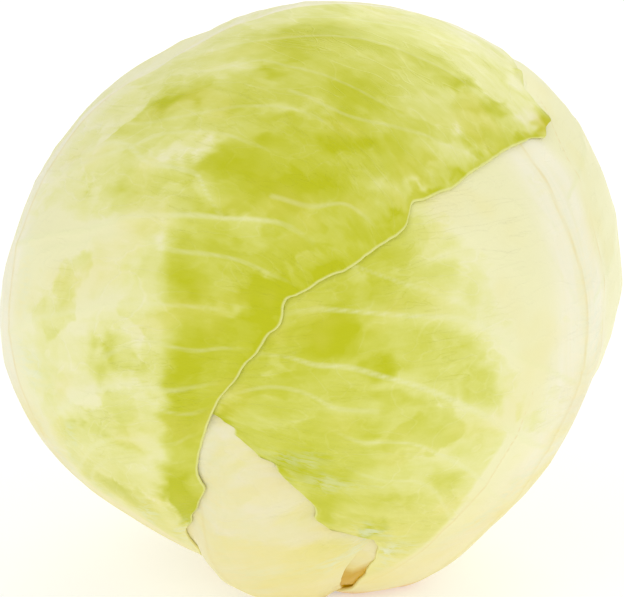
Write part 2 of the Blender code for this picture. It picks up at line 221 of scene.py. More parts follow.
# Crests along the midribs
LEAF_1_CREST = (
    (0.5, (18, 0), (40, 2), (58, 4), (68, 6), (78, 6), (88, 5), (98, 3), (110, 2), (122, 1), (136, 0),
     (150, -1), (165, 0), (174, -2), (190, -1), (205, 0)),
    (0.35, (30, -6), (60, -5), (90, -5), (120, -5), (150, -5)),
)
LEAF_2_CREST = (
    (0.5, (20, -2), (33, -4), (42, -3), (55, -5), (68, -6), (78, -4), (85, -2), (93, -1), (103, -1),
     (114, -2), (126, -1), (140, 0), (160, 0), (190, 0)),
    (0.35, (84, 7), (98, 8), (105, 9), (112, 9), (119, 9), (126, 11), (132, 14), (145, 18)),
    (0.4, (24, -22), (33, -23), (38, -22.6), (44, -22), (52, -22.3), (60, -20.8), (68, -18.7), (76, -17),
     (86, -14)),
)
CRESTS = {1: LEAF_1_CREST, 2: LEAF_2_CREST}
PLAIN_CREST = ((0.5, (18, 0), (60, 0), (110, 0), (160, 0)),)

# Places that are greener, or paler where the last number is negative:
# alpha, beta, half length and half width in mm, turn from across to along, strength
LEAF_1_MARKS = (
    (146, 40, 8, 4, 51, 0.45), (157, 50, 12, 4, 61, 0.5), (148, 47, 7, 4, 53, 0.4),
    (146, 19, 9, 3, 39, 0.6), (142, 18, 4, 3, 35, 0.55), (164, 24, 6, 3, 62, 0.55),
    (155, 39, 5, 3, 59, 0.4), (126, 26, 8, 4, 29, 0.5), (121, 20, 4, 3, 25, 0.5),
    (102, 23, 5, 5, 18, 0.35), (117, 49, 6, 5, 28, 0.45), (125, 43, 4, 4, 33, 0.35),
    (95, 53, 6, 6, 12, 0.45), (85, 53, 5, 6, 3, 0.45), (75, 51, 5, 5, -3, 0.35),
    (53, 44, 4, 9, -15, 0.75), (47, 39, 3, 8, -10, 0.85), (128, 61, 5, 4, 38, 0.8),
    (131, 65, 4, 3, 41, 0.75), (120, 61, 6, 4, 31, 0.5), (148, 66, 2.5, 1.2, 57, 0.5),
    (155, 65, 6, 4, 63, 0.3), (185, 60, 4, 1.4, 93, 0.5), (195, 55, 4, 1.4, 102, 0.55),
    (205, 50, 4, 1.2, 112, 0.5), (221, 34, 4, 1.2, 132, 0.8), (224.8, 25, 3.5, 3, 139, 1.6),
    (222.5, 30, 5, 1.5, 139, 1), (219.5, 15, 3, 2, 139, 1.1), (203, 29, 7, 3, 116, 0.55),
    (210, 32, 9, 2.4, 122, 0.75), (179, 33, 10, 6, 84, 0.45), (178, 15, 11, 5, 77, 0.35),
    (189, 22, 14, 5, 100, 0.3), (196, 26, 10, 4, 108, 0.3), (209, 40, 8, 3, 122, 0.3),
    (170, 39, 11, 3, 74, 0.25), (95, 37, 5, 6, 14, 0.4), (89, 35, 4, 4, 12, 0.3),
    (187, 52, 8, 5, 94, 0.2), (164, 55, 8, 6, 71, 0.25), (106, 57, 5, 4, 20, 0.3),
    (129, 50, 11, 4, 38, 0.25), (143, 33, 10, 4, 45, -0.45), (138, 30, 8, 3, 39, -0.4),
    (111, 30, 11, 7, 23, -0.25), (110, 18, 8, 9, 20, -0.2), (97, 32, 9, 4, 16, -0.15),
    (84, 24, 8, 6, 12, -0.2), (146, 33, 6, 2, 48, -0.35), (187, 25, 11, 4, 93, -0.25),
    (196, 37, 6, 7, 105, -0.2), (165, 35, 11, 2, 67, -0.3), (203, 45, 6, 3, 111, -0.2),
    (218, 22, 4, 6, 134, -0.2), (182, 15, 12.6, 8.1, 85, 0.35), (183, 2, 14.1, 4.7, 80, 0.2),
    (170, 17, 5.6, 5.8, 64, 0.15), (198, 23, 7.2, 4.3, 47, 0.35), (196, 14, 5.9, 6.3, 49, 0.3),
    (205, 28, 3.3, 3, 53, 0.35), (213, 20, 8.3, 5, 40, 0.4), (219, 23, 4.9, 4.1, 53, 0.35),
    (170, 44, 4.7, 2.5, 64, 0.25), (177, 46, 5.8, 3.1, 66, 0.3), (176, 38, 2.7, 3.2, 81, 0.3),
    (169, 30, 3.2, 2.4, 70, 0.15), (140, 48, 9.4, 2.2, 46, 0.25), (154, 51, 4.8, 2.7, 124, 0.22),
    (169, 62, 5.7, 2.6, 66, 0.35), (181, 63, 2.1, 1.6, 88, 0.25), (125, 65, 3.6, 2.3, 95, 0.3),
    (110, 66, 2.6, 1.5, 81, 0.25), (151, 21, 2.5, 2.2, 44, 0.25), (146, 17, 3.4, 2.8, 65, 0.2),
    (133, 15, 3.5, 4.3, 117, 0.2), (135, 27, 5.2, 2, 36, 0.15), (94, 37, 3.7, 2.2, 94, 0.28),
    (86, 22, 6.8, 5.1, 66, 0.15), (76, 40, 7, 3.2, 3, 0.12), (113, 29, 5.1, 3.2, 24, 0.12),
    (74, 21, 7.5, 4.9, -2, 0.12), (58, 26, 11.9, 6.2, -27, 0.45), (57, 14, 5, 12.9, -27, 0.25),
    (48, 26, 10.2, 6.3, -12, 0.25), (147, 24, 8.4, 4.8, 49, -0.3), (142, 25, 4.4, 2.9, 40, -0.15),
    (142, 34, 5.3, 2.4, 73, -0.4), (132, 36, 9.6, 2.6, 37, -0.3), (123, 20, 6.9, 3.6, 33, -0.2),
    (124, 40, 2.7, 2.9, 32, -0.4), (129, 44, 1.7, 2.1, 37, -0.2), (117, 58, 8, 1.5, 28, -0.28),
    (126, 58, 5.2, 2, 36, -0.2), (162, 22, 4, 2.8, 58, -0.25), (157, 37, 6.7, 2, 60, -0.22),
    (168, 39, 2.6, 3.4, 71, -0.2), (159, 11, 6.6, 11.1, 38, -0.22), (151, 7, 9, 10, 45, -0.2),
    (181, 54, 6.7, 3.4, 87, -0.22), (192, 54, 2.8, 2, 100, -0.25), (201, 52, 2.3, 2.3, 109, -0.2),
    (195, 46, 3.7, 2.7, 79, -0.28), (202, 42, 3.7, 2.7, 110, -0.3), (202, 33, 7.4, 2.6, -9, -0.18),
    (187, 41, 4.8, 3.5, 56, -0.18), (218, 29, 3.7, 2.7, 70, -0.35), (157, 56, 2.3, 1.9, 64, -0.2),
    (72, 36, 9.6, 1.3, -16, 0.25), (76, 27, 9, 1.3, 4, 0.25), (56, 35, 5.9, 0.9, 143, -0.3),
    (61, 27, 4.8, 1.1, 143, -0.3), (179, 15, 16.6, 14.8, 80, 0.28), (93, 42, 5.8, 3.8, 12, 0.3),
    (95, 31, 3.9, 2.1, 15, 0.12), (158, 19, 9.3, 4.1, 58, -0.28), (143, 26, 6.3, 2.2, 41, -0.2),
    (126, 23, 6, 4.5, 28, -0.2), (129, 29, 3.3, 4.2, 33, -0.2), (117, -12, 17.2, 0.3, 110, -0.2),
    (119, 59, 7.4, 2.3, 30, -0.2), (128, 59, 3.1, 2.5, 38, -0.2), (103, 48, 1.8, 4.1, 94, -0.25),
    (126, 43, 3.7, 2.9, 120, -0.2), (126, 65, 2.3, 3.1, 116, 0.35), (111, 65, 2.1, 1.8, 82, 0.3),
    (174, 45, 7.9, 2.8, 74, 0.22), (139, 47, 9.2, 2.5, 46, 0.2), (156, 51, 3.8, 2.7, 125, 0.15),
    (147, 37, 2.8, 1.9, 121, 0.25), (53, 41, 5.8, 2.8, 67, 0.55), (207, 29, 3.7, 2.9, 67, 0.25),
    (214, 13, 10.1, 14.7, 43, 0.15), (156, 30, 6.1, 2.6, 56, 0.2), (193, 54, 6.4, 1.9, 115, -0.3),
    (180, 55, 5.3, 2.5, 87, -0.2), (209, 43, 9.4, 1.9, 139, -0.25), (221, 31, 7.1, 1.8, 146, -0.35),
    (196, 16, 5.9, 4.3, 47, -0.25), (112, 30, 7.2, 3.7, 23, 0.15), (113, 38, 4.5, 2.1, 25, 0.12),
    (153, 67, 4.1, 1.5, 101, 0.28), (126, 65, 2.5, 3.3, 116, 0.4), (110, 66, 2.1, 1.8, 81, 0.3),
    (154, 67, 4.6, 1.5, 102, 0.35), (101, 21, 5.7, 3.7, 18, -0.35), (114, 47, 1.8, 5.8, 106, -0.2),
    (89, 55, 6.1, 3.8, 6, -0.2), (77, 40, 5.5, 5, 3, 0.15), (112, 38, 6.4, 3.6, 24, 0.15),
    (53, 41, 6.5, 3.3, 67, 0.5), (60, 44, 2.6, 2.3, -10, 0.2), (173, 7, 5.9, 4.8, 57, -0.25),
    (117, 59, 6.3, 2, 29, -0.15), (181, 46, 3.2, 2.8, 88, 0.2), (154, 51, 2.7, 2.1, 124, 0.2),
    (201, 42, 3.6, 2.3, 110, -0.2), (122, 23, 6.9, 4, 26, -0.25), (209, 33, 3.8, 4.4, 81, -0.28),
    (53, 44, 5.5, 2.6, 57, -0.18), (85, 54, 4, 3.3, 3, -0.2), (56, 35, 5.9, 3, 143, -0.3),
    (127, 63, 2.3, 2.3, 97, 0.25), (143, 33, 4.3, 2.7, 68, 0.2), (159, 49, 3.6, 2.6, 76, 0.15),
    (223, 28, 6.8, 4.3, 136, -0.3),
)
LEAF_2_MARKS = (
    (107, -52, 8, 5, -14, 0.6), (104, -55, 5, 3, -12, 0.35), (96, -45, 5, 2.5, -8, 0.5),
    (86, -25, 8, 5, -9, 0.45), (78, -47, 3, 2, 5, 0.4), (97, -59, 7, 3, -5, 0.25),
    (97, -33, 10, 5, -11, 0.4), (87, -42, 8, 3, -3, 0.25), (65, -50, 8, 4, 16, 0.25),
    (72, -58, 5, 4, 15, 0.3), (67, -30, 6, 4, 1, 0.4), (114, -48, 6, 3, -20, 0.3),
    (53, -48, 6, 4, 28, 0.3), (60.3, -58.7, 3.6, 0.8, 55, 1), (47.6, -36.6, 1.3, 0.9, 60, 1.4),
    (60, -37, 5, 2, 11, 0.25), (67, -54, 4, 3, 18, 0.25), (51, -37, 2, 1.5, 19, 0.8),
    (49, -39, 1.5, 1.2, 10, 0.9), (78, -17, 7, 4, -10, 0.35), (123, -20, 14, 12, -22, -0.3),
    (117, -30, 7, 4, -21, -0.25), (44, -39, 4, 3, 27, -0.35), (73, -38, 8, 1.5, 3, -0.2),
    (40, -29, 4, 4, 16, -0.3), (90, -27, 6.9, 3.3, -10, 0.35), (78, -25, 5, 3.1, -6, 0.22),
    (84, -46, 5.3, 2.2, 0, 0.22), (78, -45, 3.7, 2.3, 4, 0.2), (101, -50, 3.6, 2.1, 20, 0.22),
    (95, -46, 3.1, 2.1, -7, 0.2), (62, -59, 2.6, 3.2, 26, 0.3), (59, -56, 6.5, 2, 21, 0.4),
    (47, -46, 3.2, 4.1, 32, 0.25), (48, -36, 2.3, 2.3, 18, 0.3), (43, -29, 3.9, 3.6, 10, 0.22),
    (88, -53, 10.3, 2.7, 1, 0.15), (81, -70, 5.6, 2.1, 50, 0.3), (109, -53, 3.6, 2.5, -16, 0.1),
    (117, -28, 4, 2.4, -21, 0.15), (106, -24, 3.1, 3.6, -16, 0.12), (75, -50, 5.2, 3, 9, 0.12),
    (73, -29, 4.4, 2, -2, 0.12), (100, -29, 2.7, 2.3, -13, -0.3), (106, -31, 4, 3.1, -15, -0.22),
    (98, -33, 4, 2.3, -11, -0.22), (90, -40, 6, 2.2, -6, -0.22), (83, -34, 4.6, 2.9, -4, -0.22),
    (105, -38, 3.8, 2.6, -14, -0.12), (81, -19, 3.8, 3.1, -10, -0.3), (115, -50, 6.4, 1.3, -20, -0.2),
    (117, -40, 4.2, 2.1, 139, -0.22), (123, -30, 3.3, 1.9, -24, -0.12), (71, -58, 3.6, 2.4, 16, -0.2),
    (54, -45, 3.2, 3, 24, -0.25), (82, -64, 7.7, 3, 9, 0.25), (62, -59, 3.1, 2.5, 26, 0.25),
    (60, -51, 3.6, 2.7, 23, 0.3), (72, -40, 10.8, 2.2, 11, 0.2), (100, -35, 8.9, 7.7, -12, -0.18),
    (95, -35, 2.8, 1.8, -10, -0.15), (89, -45, 6.3, 1.6, -3, -0.15), (94, -47, 3.6, 1.6, -6, 0.2),
    (108, -53, 2.5, 2.5, -15, 0.2), (95, -26, 3.8, 2.1, -11, 0.2), (48, -36, 4, 2.8, 18, 0.3),
    (42, -29, 4.5, 6.1, 12, 0.25), (33, -37, 3.8, 4.8, 39, 0.2), (118, -27, 6.9, 3.2, -21, 0.15),
    (112, -29, 5.7, 2.1, -18, 0.12), (116, 11, 15.8, 8.8, 84, -0.2), (79, -18, 5.6, 4.5, -11, -0.2),
    (72, -72, 2.6, 2.3, 76, 0.35), (71, -72, 2.4, 1.8, 77, 0.3), (62, -58, 3.6, 2.2, 25, 0.25),
    (108, -53, 2.8, 2.3, -15, 0.25), (33, -4, 7.2, 32.3, 35, 0.15), (108, -64, 2.6, 1.8, 44, 0.2),
)
LEAF_4_MARKS = ((61, 19, 4, 3, -9, 0.25), (51, 23, 5, 3, -22, 0.30), (44, 8, 9, 4, -5, 0.10))

# Browned places, in the same order. Those of leaf_7 and leaf_4 lie in the hollow at the foot of the slit by
# the stem and are partly painted shade there; leaf_finish also paints all of them to glow golden.
LEAF_7_STAIN_AND_PAINTED_SHADE = ((31, -7, 5, 11, 20, 4.5), (47, -8, 5.6, 0.9, 90, 0.8))
LEAF_4_STAIN_AND_PAINTED_SHADE = ((20, 15, 6, 5, 0, 2.0), (31, 18, 1.8, 4, 137, 0.4))
LEAF_1_STAINS = ((224, 27, 4.6, 3.1, 138, 0.18), (220, 12.5, 3, 2, 139, 0.12), (223, 31, 3, 2, 139, 0.12))
STAINS_AND_PAINTED_LIGHT = {1: LEAF_1_STAINS, 4: LEAF_4_STAIN_AND_PAINTED_SHADE, 7: LEAF_7_STAIN_AND_PAINTED_SHADE}

# Straw-coloured places, in the same order, over an even share for each leaf
LEAF_STRAW = (0.0, 0.0, 0.0, 0.62, 0.15, 0.15, 0.6, 0.15)
LEAF_1_STRAW = ((69, 3, 8.9, 10.1, 88, 0.7), (61, 3, 3.8, 12.9, 114, 0.6), (77, 2, 7.3, 5.6, 87, 0.4))
LEAF_2_STRAW = (
    (80, -1, 8.1, 7.2, 63, 0.8), (64, -1, 14, 12, 30, 0.8), (51, -6, 11, 14, 73, 0.7),
    (42, -15, 13, 8, 30, 0.6), (87, 7, 6.9, 5.6, 55, 0.5), (29, -21, 9.4, 8.8, 25, 0.7),
)
STRAWS = {1: LEAF_1_STRAW, 2: LEAF_2_STRAW}

# Where a margin rests on a leaf under it: that leaf, alpha, beta and reach in degrees
RESTS = {
    1: ((3, 46.5, 35.5, 5), (3, 42, 33.2, 5), (3, 37.5, 30.5, 5), (3, 33, 28, 5)),
    2: ((6, 40, -31, 6), (6, 33, -27.5, 6), (6, 27, -24, 5)),
}

# Waxy bloom, in the same order
LEAF_1_BLOOM = (
    (43, 32, 9, 3, 30, 1.1), (50, 28, 9, 2, 40, 0.9),
    (62, 8, 14, 4, 80, 0.8), (84, 12, 5, 12, 80, 0.5), (52, 14, 10, 3, 60, 0.8), (48, 24, 8, 2, 40, 0.8),
    (100, 9, 4, 12, 10, 0.4), (66, 16, 6, 2, 40, 0.6), (72, 22, 5, 2, 40, 0.5),
)
LEAF_2_BLOOM = (
    (53, -14, 12, 4, 62, 0.6), (62, -10, 18, 3, 62, 0.4), (43.5, -30.5, 2.5, 4, 30, 1.3),
    (39, -27, 2.5, 4, 30, 1.2), (48.5, -36, 7, 1.8, 8, 0.9), (45, -28, 5, 3, 10, 0.8),
    (60, -50, 10, 2, 15, 0.5), (64, -58, 8, 2, 15, 0.5), (90, 4, 3, 20, 5, 0.4), (50, -38, 4, 1.5, 20, 0.7),
)
LEAF_4_BLOOM = (
    (45, 22, 8, 2.6, 40, 1.2), (48, 27, 5, 2, 50, 1.2), (46, 8, 12, 2, 5, 0.5), (44, 17, 6, 2, 10, 0.7),
    (40, -10, 8, 3, 20, 0.6), (37, 3, 12, 3, 10, 0.4),
)
LEAF_7_BLOOM = ((46, -8, 3, 6, 0, 0.2),)
BLOOMS = {1: LEAF_1_BLOOM, 2: LEAF_2_BLOOM, 4: LEAF_4_BLOOM, 7: LEAF_7_BLOOM}


def polar_direction(azimuth, up):
    """Unit vectors at an azimuth from the front and an angle up from the bottom."""
    a, p = np.radians(azimuth), np.radians(up)
    return np.stack((np.sin(p) * np.sin(a), -np.sin(p) * np.cos(a), -np.cos(p)), -1)


def leaf_axes(leaf):
    """Outward, sideways and upward unit vectors of a leaf's midrib plane."""
    a = math.radians(leaf["azimuth"])
    return np.array(((math.sin(a), -math.cos(a), 0), (math.cos(a), math.sin(a), 0), (0, 0, 1)))


def leaf_direction(leaf, alpha, beta):
    """cos beta times the midrib circle's point at alpha, plus sin beta sideways."""
    out, side, up = leaf_axes(leaf)
    a, b = np.radians(alpha)[..., None], np.radians(beta)[..., None]
    return np.cos(b) * (np.sin(a) * out - np.cos(a) * up) + np.sin(b) * side


def leaf_angles(leaf, direction):
    """Alpha and beta of directions, the reverse of leaf_direction."""
    out, side, up = leaf_axes(leaf)
    alpha = np.degrees(np.arctan2(direction @ out, -(direction @ up)))
    beta = np.degrees(np.arcsin(np.clip(direction @ side, -1, 1)))
    return np.where(alpha < -80, alpha + 360, alpha), beta


def head_distance(direction):
    """An ellipsoid's radius for the direction, plus swells, each a bell of the angle from its middle."""
    half_height = np.where(direction[..., 2] > 0, HEIGHT_ABOVE_CENTRE, HEIGHT_BELOW_CENTRE)
    scaled = direction / np.stack(
        (np.full_like(half_height, HALF_WIDTH), np.full_like(half_height, HALF_DEPTH), half_height), -1
    )
    distance = 1 / np.linalg.norm(scaled, axis=-1)
    for azimuth, up, height, reach in SWELLS:
        away = np.degrees(np.arccos(np.clip(direction @ polar_direction(azimuth, up), -1, 1)))
        distance = distance + height * np.exp(-((away / reach) ** 2))
    return distance


def placed(direction, distance):
    """Points in metres: the centre plus distance times direction, drawn over the stem's axis near the floor
    by a share that fades with height."""
    point = HEAD_CENTRE + direction * distance[..., None]
    point[..., 0] -= HEAD_CENTRE[0] * np.exp(-np.maximum(point[..., 2], 0) / CENTRING_HEIGHT)
    return point * MM


def smooth_step(value, low, high):
    """0 below low, 1 above high, and 3 t squared minus 2 t cubed between."""
    share = np.clip((value - low) / (high - low), 0, 1)
    return share * share * (3 - 2 * share)


def smooth_line(points, count):
    """A curve through points: between neighbours a cubic whose end slopes are those across each point."""
    points = np.array(points, float)
    steps = np.abs(np.diff(points, axis=0)).sum(1)
    share = np.concatenate(((0.0,), np.cumsum(steps))) / steps.sum()
    slope = np.gradient(points, share, axis=0)
    amount = np.linspace(0, 1, count)
    cell = np.clip(np.searchsorted(share, amount, side="right") - 1, 0, len(share) - 2)
    width = (share[cell + 1] - share[cell])[:, None]
    t = (amount - share[cell])[:, None] / width
    return (
        (2 * t**3 - 3 * t**2 + 1) * points[cell]
        + (t**3 - 2 * t**2 + t) * width * slope[cell]
        + (3 * t**2 - 2 * t**3) * points[cell + 1]
        + (t**3 - t**2) * width * slope[cell + 1]
    )


def evened(line, reach):
    """A line averaged along itself with bell weights, its ends kept by turning it about them."""
    step = np.arange(-3 * reach, 3 * reach + 1)
    weight = np.exp(-0.5 * (step / reach) ** 2)
    before = 2 * line[:1] - line[3 * reach : 0 : -1]
    after = 2 * line[-1:] - line[-2 : -3 * reach - 2 : -1]
    longer = np.concatenate((before, line, after))
    return np.stack([np.convolve(longer[:, part], weight / weight.sum(), "valid") for part in (0, 1)], -1)


def leaf_edge(leaf, side):
    """The leaf's edge as alpha and beta, evened out, and apart from that its notches with a sum of short
    waves across it."""
    line = smooth_line(leaf["right" if side > 0 else "left"], EDGE_POINTS)
    ragged = leaf["ragged"][0 if side > 0 else 1]
    squeeze = np.cos(np.radians(line[:, 1]))
    run = np.stack((np.gradient(line[:, 0]) * squeeze, np.gradient(line[:, 1])), -1) * MM_PER_DEGREE
    length = np.maximum(np.linalg.norm(run, axis=1), 1e-6)
    travelled = np.cumsum(length)
    draw = np.random.default_rng(int(leaf["phase"] * 100) + (7 if side > 0 else 3))
    push = np.zeros(EDGE_POINTS)
    for wave_length, height in ((31, 0.55), (17, 0.4), (8.3, 0.3), (4.6, 0.22), (2.7, 0.13)):
        bend = draw.uniform(0, 2 * math.pi, 3)
        swell = 0.6 + 0.4 * np.sin(travelled / (wave_length * 2.3) + bend[1])
        shift = bend[0] + np.sin(travelled / 9 + bend[2])
        push += height * swell * np.sin(2 * math.pi * travelled / wave_length + shift)
    push *= ragged * smooth_step(travelled, 8, 30)
    normal = np.stack((-run[:, 1], run[:, 0]), -1) / length[:, None]
    smooth = evened(line, 14)
    line[:, 0] += normal[:, 0] * push / MM_PER_DEGREE / squeeze
    line[:, 1] += normal[:, 1] * push / MM_PER_DEGREE
    return smooth, line - smooth


for leaf in LEAVES:
    leaf["edges"] = {side: leaf_edge(leaf, side) for side in (1, -1)}
    plain = [smooth_line(leaf[side], OUTLINE_POINTS) for side in ("right", "left")]
    leaf["outline"] = np.concatenate((plain[0], plain[1][::-1]))
    leaf["tip"] = 0.5 * (leaf["right"][-1][0] + leaf["left"][-1][0])


def leaf_sheet(leaf, along, across):
    """Alpha and beta over the leaf: the midrib's alpha bent toward the evened edge's, the edge's beta in
    proportion, and the notches and waves let in close to the edge."""
    midrib = BASE_ANGLE + (leaf["tip"] - BASE_ANGLE) * along
    ahead = along + ROWS_AHEAD_AT_EDGE * np.sin(math.pi * along)
    share = np.linspace(0, 1, EDGE_POINTS)
    wide = np.abs(across)
    bend = wide ** (1.3 + 1.15 * np.exp(-((along / 0.08) ** 2)))
    found = []
    for side in (1, -1):
        smooth, marks = leaf["edges"][side]
        edge = [np.interp(ahead, share, smooth[:, part]) for part in (0, 1)]
        near = [np.interp(ahead, share, marks[:, part]) * wide**7 for part in (0, 1)]
        found.append((midrib + (edge[0] - midrib) * bend + near[0], edge[1] * wide + near[1]))
    return tuple(np.where(across > 0, right, left) for right, left in zip(*found))


def spread_flat(leaf, direction):
    """Plane coordinates in millimetres about the leaf's middle, true in distance from there."""
    middle = leaf_direction(leaf, np.array(115.0), np.array(0.0))
    sideways = leaf_axes(leaf)[1]
    forward = np.cross(sideways, middle)
    angle = np.degrees(np.arccos(np.clip(direction @ middle, -1, 1)))
    x, y = direction @ sideways, direction @ forward
    length = np.maximum(np.hypot(x, y), 1e-9)
    return np.stack((x / length, y / length), -1) * (angle * MM_PER_DEGREE)[..., None]


def outside_edge(leaf, direction):
    """Distance in millimetres outside the leaf's outline, negative inside: the nearest of the outline's
    straight pieces, with its sign from how often a level line from the point crosses them."""
    outline = spread_flat(leaf, leaf_direction(leaf, leaf["outline"][:, 0], leaf["outline"][:, 1]))
    start, end = outline, np.roll(outline, -1, axis=0)
    run = end - start
    square = np.maximum((run**2).sum(-1), 1e-9)
    rise = np.where(np.abs(run[:, 1]) < 1e-9, 1e-9, run[:, 1])
    points = spread_flat(leaf, direction).reshape(-1, 2)
    found = np.empty(len(points))
    for first in range(0, len(points), BATCH):
        point = points[first : first + BATCH, None, :]
        x, y = point[..., 0] - start[:, 0], point[..., 1] - start[:, 1]
        share = np.clip((x * run[:, 0] + y * run[:, 1]) / square, 0, 1)
        distance = np.sqrt(((x - share * run[:, 0]) ** 2 + (y - share * run[:, 1]) ** 2).min(-1))
        above = (start[:, 1] > point[..., 1]) != (end[:, 1] > point[..., 1])
        crossing = start[:, 0] + y * run[:, 0] / rise
        inside = (above & (point[..., 0] < crossing)).sum(-1) % 2 == 1
        found[first : first + BATCH] = np.where(inside, -distance, distance)
    return found.reshape(direction.shape[:-1])


def midrib_profile(leaf, direction):
    """Height of the midrib: a bell across it, drawn to a crest, from heights and half widths along it."""
    alpha, beta = leaf_angles(leaf, direction)
    height = np.interp(alpha, RIB_STATIONS, leaf["rib_heights"])
    half_width = np.interp(alpha, RIB_STATIONS, leaf["rib_half_widths"])
    across = np.abs(beta * MM_PER_DEGREE / half_width)
    return height * (0.65 * np.exp(-(across**2)) + 0.35 * np.exp(-1.9 * np.sqrt(across**2 + 0.01)))


def leaf_layer(index, direction, to_side=99.0):
    """Outer and inner distance of a leaf, and how far it is bare of the leaves over it.

    Each leaf over it sinks it by a blade and a gap, out to a short way past that leaf's edge. The edge of
    each leaf under it shows through as a dip that starts there.
    """
    outer = head_distance(direction)
    bare = np.ones(outer.shape)
    floor = np.full(outer.shape, 1e6)
    low = direction[..., 2] < -0.1
    floor[low] = (HEAD_CENTRE[2] - LEAF_CLEAR_OF_FLOOR) / -direction[..., 2][low]
    for leaf in LEAVES[:index]:
        inner = outer - BLADE
        past = outside_edge(leaf, direction)
        cover = 1 - smooth_step(past, 0, SHORT_FADES.get(index, COVER_FADE))
        outer = outer - (outer - inner + LAYER_GAP) * cover
        bare = bare * (1 - cover)
    inner = outer - BLADE
    over = np.zeros(outer.shape)
    for leaf in LEAVES[index + 1 :]:
        past = outside_edge(leaf, direction)
        dip = (1 - smooth_step(past, 0, COVER_FADE)) - (1 - smooth_step(past, -1, PRINT_FADE))
        outer = outer - leaf["print"] * dip
        inner = inner - leaf["print"] * dip
        over = np.maximum(over, (1 - smooth_step(past, -1.5, 0.8)) * leaf["print"] / 0.6)
    rib = midrib_profile(LEAVES[index], direction) * (0.22 + 0.78 * smooth_step(to_side, 0, 9))
    return np.minimum(outer + rib * bare, floor), np.minimum(inner, floor - BLADE), bare, over


def side_ribs(leaf, side, first, last, count, seed):
    """Side ribs by rule: from the midrib at even steps, each swept forward by a power of beta and forked."""
    draw = np.random.default_rng(seed)
    beta = np.linspace(2, 66, SIDE_RIB_POINTS)
    lines = []
    for number in range(count):
        start = first + (last - first) * number / (count - 1) + draw.uniform(-3, 3)
        sweep = 16 + 26 * number / (count - 1) + draw.uniform(-4, 4)
        wiggle = draw.uniform(-2.5, 2.5, SIDE_RIB_POINTS) * np.linspace(0, 1, SIDE_RIB_POINTS)
        alpha = start + sweep * (beta / 60) ** 1.25 + wiggle
        strength = draw.uniform(0.5, 1.0)
        lines.append((strength, *zip(alpha, side * beta)))
        fork = draw.integers(3, 6)
        branch = alpha[fork:] + (9 + draw.uniform(0, 8)) * np.linspace(0, 1, SIDE_RIB_POINTS - fork) ** 0.8
        lines.append((0.6 * strength, *zip(branch, side * beta[fork:])))
    return lines


def nearest_rib(leaf, direction, lines):
    """Distance in millimetres to the nearest of some lines, divided by the line's own relative width, and
    that line's strength. Both width and strength fall toward a line's end."""
    points = direction.reshape(-1, 3)
    away = np.full(len(points), RIB_OUT_OF_REACH)
    force = np.zeros(len(points))
    for line in lines:
        curve = smooth_line(line[1:], 30)
        path = leaf_direction(leaf, curve[:, 0], curve[:, 1])
        middle = path[len(path) // 2]
        reach = np.linalg.norm(middle - path, axis=1).max() + RIB_OUT_OF_REACH / HEAD_RADIUS
        near = np.flatnonzero(np.linalg.norm(points - middle, axis=1) < reach)
        start, run = path[:-1], np.diff(path, axis=0)
        square = (run**2).sum(-1)
        for first in range(0, len(near), BATCH):
            chosen = near[first : first + BATCH]
            offset = points[chosen][:, None, :] - start
            share = np.clip((offset * run).sum(-1) / square, 0, 1)
            length = np.linalg.norm(offset - share[..., None] * run, axis=-1) * HEAD_RADIUS
            nearest = length.argmin(-1)
            done = nearest / len(start)
            width = (0.6 + 0.4 * line[0]) * (1 - 0.35 * done)
            length = length[np.arange(len(chosen)), nearest] / width
            closer = length < away[chosen]
            away[chosen[closer]] = length[closer]
            strength = line[0] * (1 - 0.3 * done) * np.clip((1 - done) / 0.2, 0, 1)
            force[chosen[closer]] = strength[closer]
    return away.reshape(direction.shape[:-1]), force.reshape(direction.shape[:-1])


def marks_at(alpha, beta, marks):
    """Sum of turned bells at the places listed, each the exponential of minus a power of the elliptical
    distance, their outlines made uneven by rolling."""
    total = np.zeros(alpha.shape)
    alpha = alpha + rolling(alpha, beta, 71, ((11, 1.5), (5, 0.9)))
    beta = beta + rolling(alpha, beta, 72, ((11, 1.5), (5, 0.9)))
    for mark_alpha, mark_beta, half_length, half_width, turn, strength in marks:
        x = (beta - mark_beta) * MM_PER_DEGREE
        y = (alpha - mark_alpha) * MM_PER_DEGREE * np.cos(np.radians(mark_beta))
        c, s = math.cos(math.radians(turn)), math.sin(math.radians(turn))
        square = ((x * c + y * s) / half_length) ** 2 + ((y * c - x * s) / half_width) ** 2
        total += strength * np.exp(-(square**0.85))
    return total


def rolling(alpha, beta, seed, sizes):
    """Slow rolling of a surface: sines in several turned directions, with sizes as wave length and height."""
    draw = np.random.default_rng(seed)
    x, y = beta * MM_PER_DEGREE, alpha * MM_PER_DEGREE
    total = np.zeros(alpha.shape)
    for wave_length, height in sizes:
        for _ in range(3):
            turn, phase = draw.uniform(0, math.pi), draw.uniform(0, 2 * math.pi, 2)
            distance = x * math.cos(turn) + y * math.sin(turn)
            sideways = y * math.cos(turn) - x * math.sin(turn)
            bend = 0.9 * np.sin(sideways / wave_length * 3.1 + phase[1])
            total += height / 3 * np.sin(2 * math.pi * distance / wave_length + phase[0] + bend)
    return total


